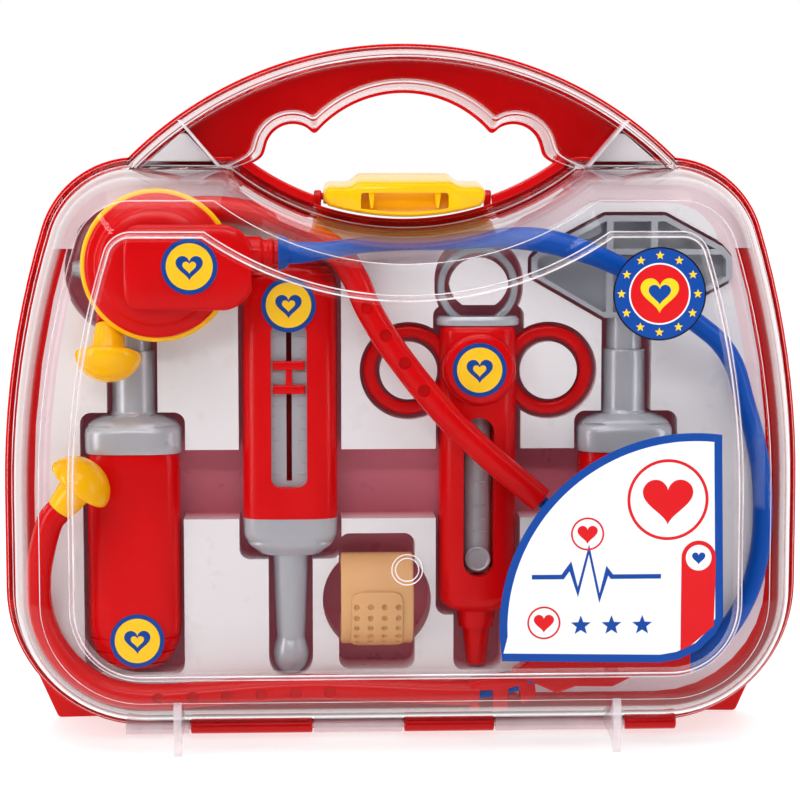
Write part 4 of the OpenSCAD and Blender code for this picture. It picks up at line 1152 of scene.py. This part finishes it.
label = {
    "outline": [(102.5, 46), (100, 41), (95, 35.8), (88, 32.6), (82, 31.6), (30.5, 32.5)]
               + arc(92.6, 43.6, 63, 183, 82, 48),
    "middle": (76, 66), "margin": 2.6,
    "pulse": [(40, 60), (50, 60), (52.5, 63.5), (55, 55), (58.5, 69), (62, 53), (64.5, 62), (66, 60),
              (82, 60)],
    "bigHeart": (84, 85), "smallHearts": [(58, 74), (44, 45)], "stars": [(56, 44), (66, 44), (76, 44)],
    "strip": [(92, 37.2), (99.4, 43.6), (99.8, 62)] + arc(94.2, 66, 5.6, 0, 180, 24) + [(88.6, 35.6)],
    "stripEnd": (94.2, 66),
}


# A loop drawn in towards its middle by a margin
def drawnIn(loop, middle, margin):
    inner = []
    for k, point in enumerate(loop):
        here = Vector(point)
        along = (Vector(loop[(k + 1) % len(loop)]) - Vector(loop[k - 1])).normalized()
        normal = Vector((-along.y, along.x))
        if normal.dot(Vector(middle) - here) < 0:
            normal = -normal
        inner.append(tuple(here + normal * margin))
    return inner


# Ring, as the two loops of its edges
def ringLoops(x, z, outer, inner, count=48):
    return [circleLoop(x, z, outer, count), circleLoop(x, z, inner, count)]


def makeLabel():
    x, z = label["bigHeart"]
    endX, endZ = label["stripEnd"]
    smallRings, smallHearts = [], []
    for heartX, heartZ in label["smallHearts"]:
        smallRings += ringLoops(heartX, heartZ, 5.4, 4.8)
        smallHearts.append(heartLoop(heartX, heartZ - 0.2, 3.3))
    layers = [("printBlue", [label["outline"]]),
              ("printWhite", [drawnIn(label["outline"], label["middle"], label["margin"])]),
              ("printRed", ringLoops(x, z, 13.2, 12.2, 96)),
              ("printRed", [heartLoop(x, z - 0.6, 8.2, 64)]),
              ("printBlue", [strokeLoop(label["pulse"], 1.5)]),
              ("printRed", smallRings),
              ("printRed", smallHearts),
              ("printBlue", [starLoop(*at, 3.4) for at in label["stars"]]),
              ("printRed", [label["strip"]]),
              ("printWhite", [circleLoop(endX, endZ, 4.2)]),
              ("printBlue", [heartLoop(endX, endZ - 0.2, 2.2)])]
    piece = printed("frontLabel", layers, front["face"])
    finishPiece(piece, None, "front_label", body="lid")


sticker = {"centre": (80.6, 151.5), "stars": 12, "starsR": 12.3}


def makeSticker():
    x, z = sticker["centre"]
    reach = sticker["starsR"]
    stars = [starLoop(x + reach * c, z + reach * s, 1.5) for c, s in roundDirections(sticker["stars"])]
    layers = [("printBlack", [circleLoop(x, z, 15, 96)]), ("printBlue", [circleLoop(x, z, 14.5, 96)]),
              ("printYellow", stars), ("printWhite", [circleLoop(x, z, 9.9, 72)]),
              ("printRed", [circleLoop(x, z, 9.4, 72)]), ("printYellow", [heartLoop(x, z - 0.4, 6.2, 64)]),
              ("printBlue", [heartLoop(x, z - 0.2, 3.6, 64)])]
    piece = printed("roundSticker", layers, front["face"])
    finishPiece(piece, None, "round_sticker", body="lid")


makeBadges()
makeLabel()
makeSticker()
print("prints ready")

# Floor, world and lamps
clearSelection()
bpy.ops.mesh.primitive_plane_add(size=7, location=(0, 1.5, 0))
floor = bpy.context.object
floor.name = "studioFloor"
floor.visible_glossy = False
floorSurface = Surface("paleFloor")
floorColour = floorSurface.ramp(floorSurface.noise(3, 2), [(0.3, grey(0.5)), (0.7, grey(0.53))])
floorSurface.link(floorColour, floorSurface.shader.inputs["Base Color"])
floorSurface.shader.inputs["Roughness"].default_value = 0.6
floorSurface.shader.inputs["Emission Color"].default_value = (1, 1, 1, 1)
floorSurface.shader.inputs["Emission Strength"].default_value = 0.62
floor.data.materials.append(floorSurface.material)


# Brightness of the room along an axis: where it starts and ends to change, and both levels.
# White behind, below and above the case, and dim in front of it
roomLight = [("Y", -0.05, 0.4, 0.02, 1.2), ("Z", -0.2, -0.215, 0, 0.55), ("Z", 0.55, 0.9, 0, 1.2)]


def makeWorld():
    world = bpy.data.worlds.new("studio")
    bpy.context.scene.world = world
    world.use_nodes = True
    tree = world.node_tree
    background = tree.nodes["Background"]
    parts = tree.nodes.new("ShaderNodeSeparateXYZ")
    tree.links.new(tree.nodes.new("ShaderNodeTexCoord").outputs["Generated"], parts.inputs[0])
    levels = []
    for axis, start, end, low, high in roomLight:
        level = tree.nodes.new("ShaderNodeMapRange")
        for name, value in (("From Min", start), ("From Max", end), ("To Min", low), ("To Max", high)):
            level.inputs[name].default_value = value
        tree.links.new(parts.outputs[axis], level.inputs["Value"])
        levels.append(level.outputs["Result"])
    for other in levels[1:]:
        most = tree.nodes.new("ShaderNodeMath")
        most.operation = "MAXIMUM"
        tree.links.new(levels[0], most.inputs[0])
        tree.links.new(other, most.inputs[1])
        levels[0] = most.outputs["Value"]
    seen = tree.nodes.new("ShaderNodeMix")
    tree.links.new(tree.nodes.new("ShaderNodeLightPath").outputs["Is Camera Ray"], seen.inputs["Factor"])
    tree.links.new(levels[0], seen.inputs["A"])
    seen.inputs["B"].default_value = 1.0
    tree.links.new(seen.outputs["Result"], background.inputs["Strength"])
    background.inputs["Color"].default_value = (1, 1, 1, 1)


makeWorld()
lamps = {
    "leftStrip": {"place": (-0.8, -0.42, 0.3), "size": (0.25, 0.7), "power": 3.4},
    "rightStrip": {"place": (0.82, -0.42, 0.3), "size": (0.25, 0.7), "power": 2.6},
    "highFront": {"place": (-0.1, -0.5, 1.2), "size": (1.2, 0.8), "power": 7.5},
    "lowFill": {"place": (-0.2, -1.25, 0.8), "size": (1.1, 0.14), "power": 5.5},
}
for name, lamp in lamps.items():
    bpy.ops.object.light_add(type="AREA", location=lamp["place"])
    light = bpy.context.object
    light.name = name
    light.data.shape = "RECTANGLE"
    light.data.size, light.data.size_y = lamp["size"]
    light.data.energy = lamp["power"]
    toCase = Vector((0, 0, 0.11)) - Vector(lamp["place"])
    light.rotation_euler = toCase.to_track_quat("-Z", "Y").to_euler()
bpy.context.scene.view_settings.view_transform = "Standard"

clearSelection()
print("scene ready")
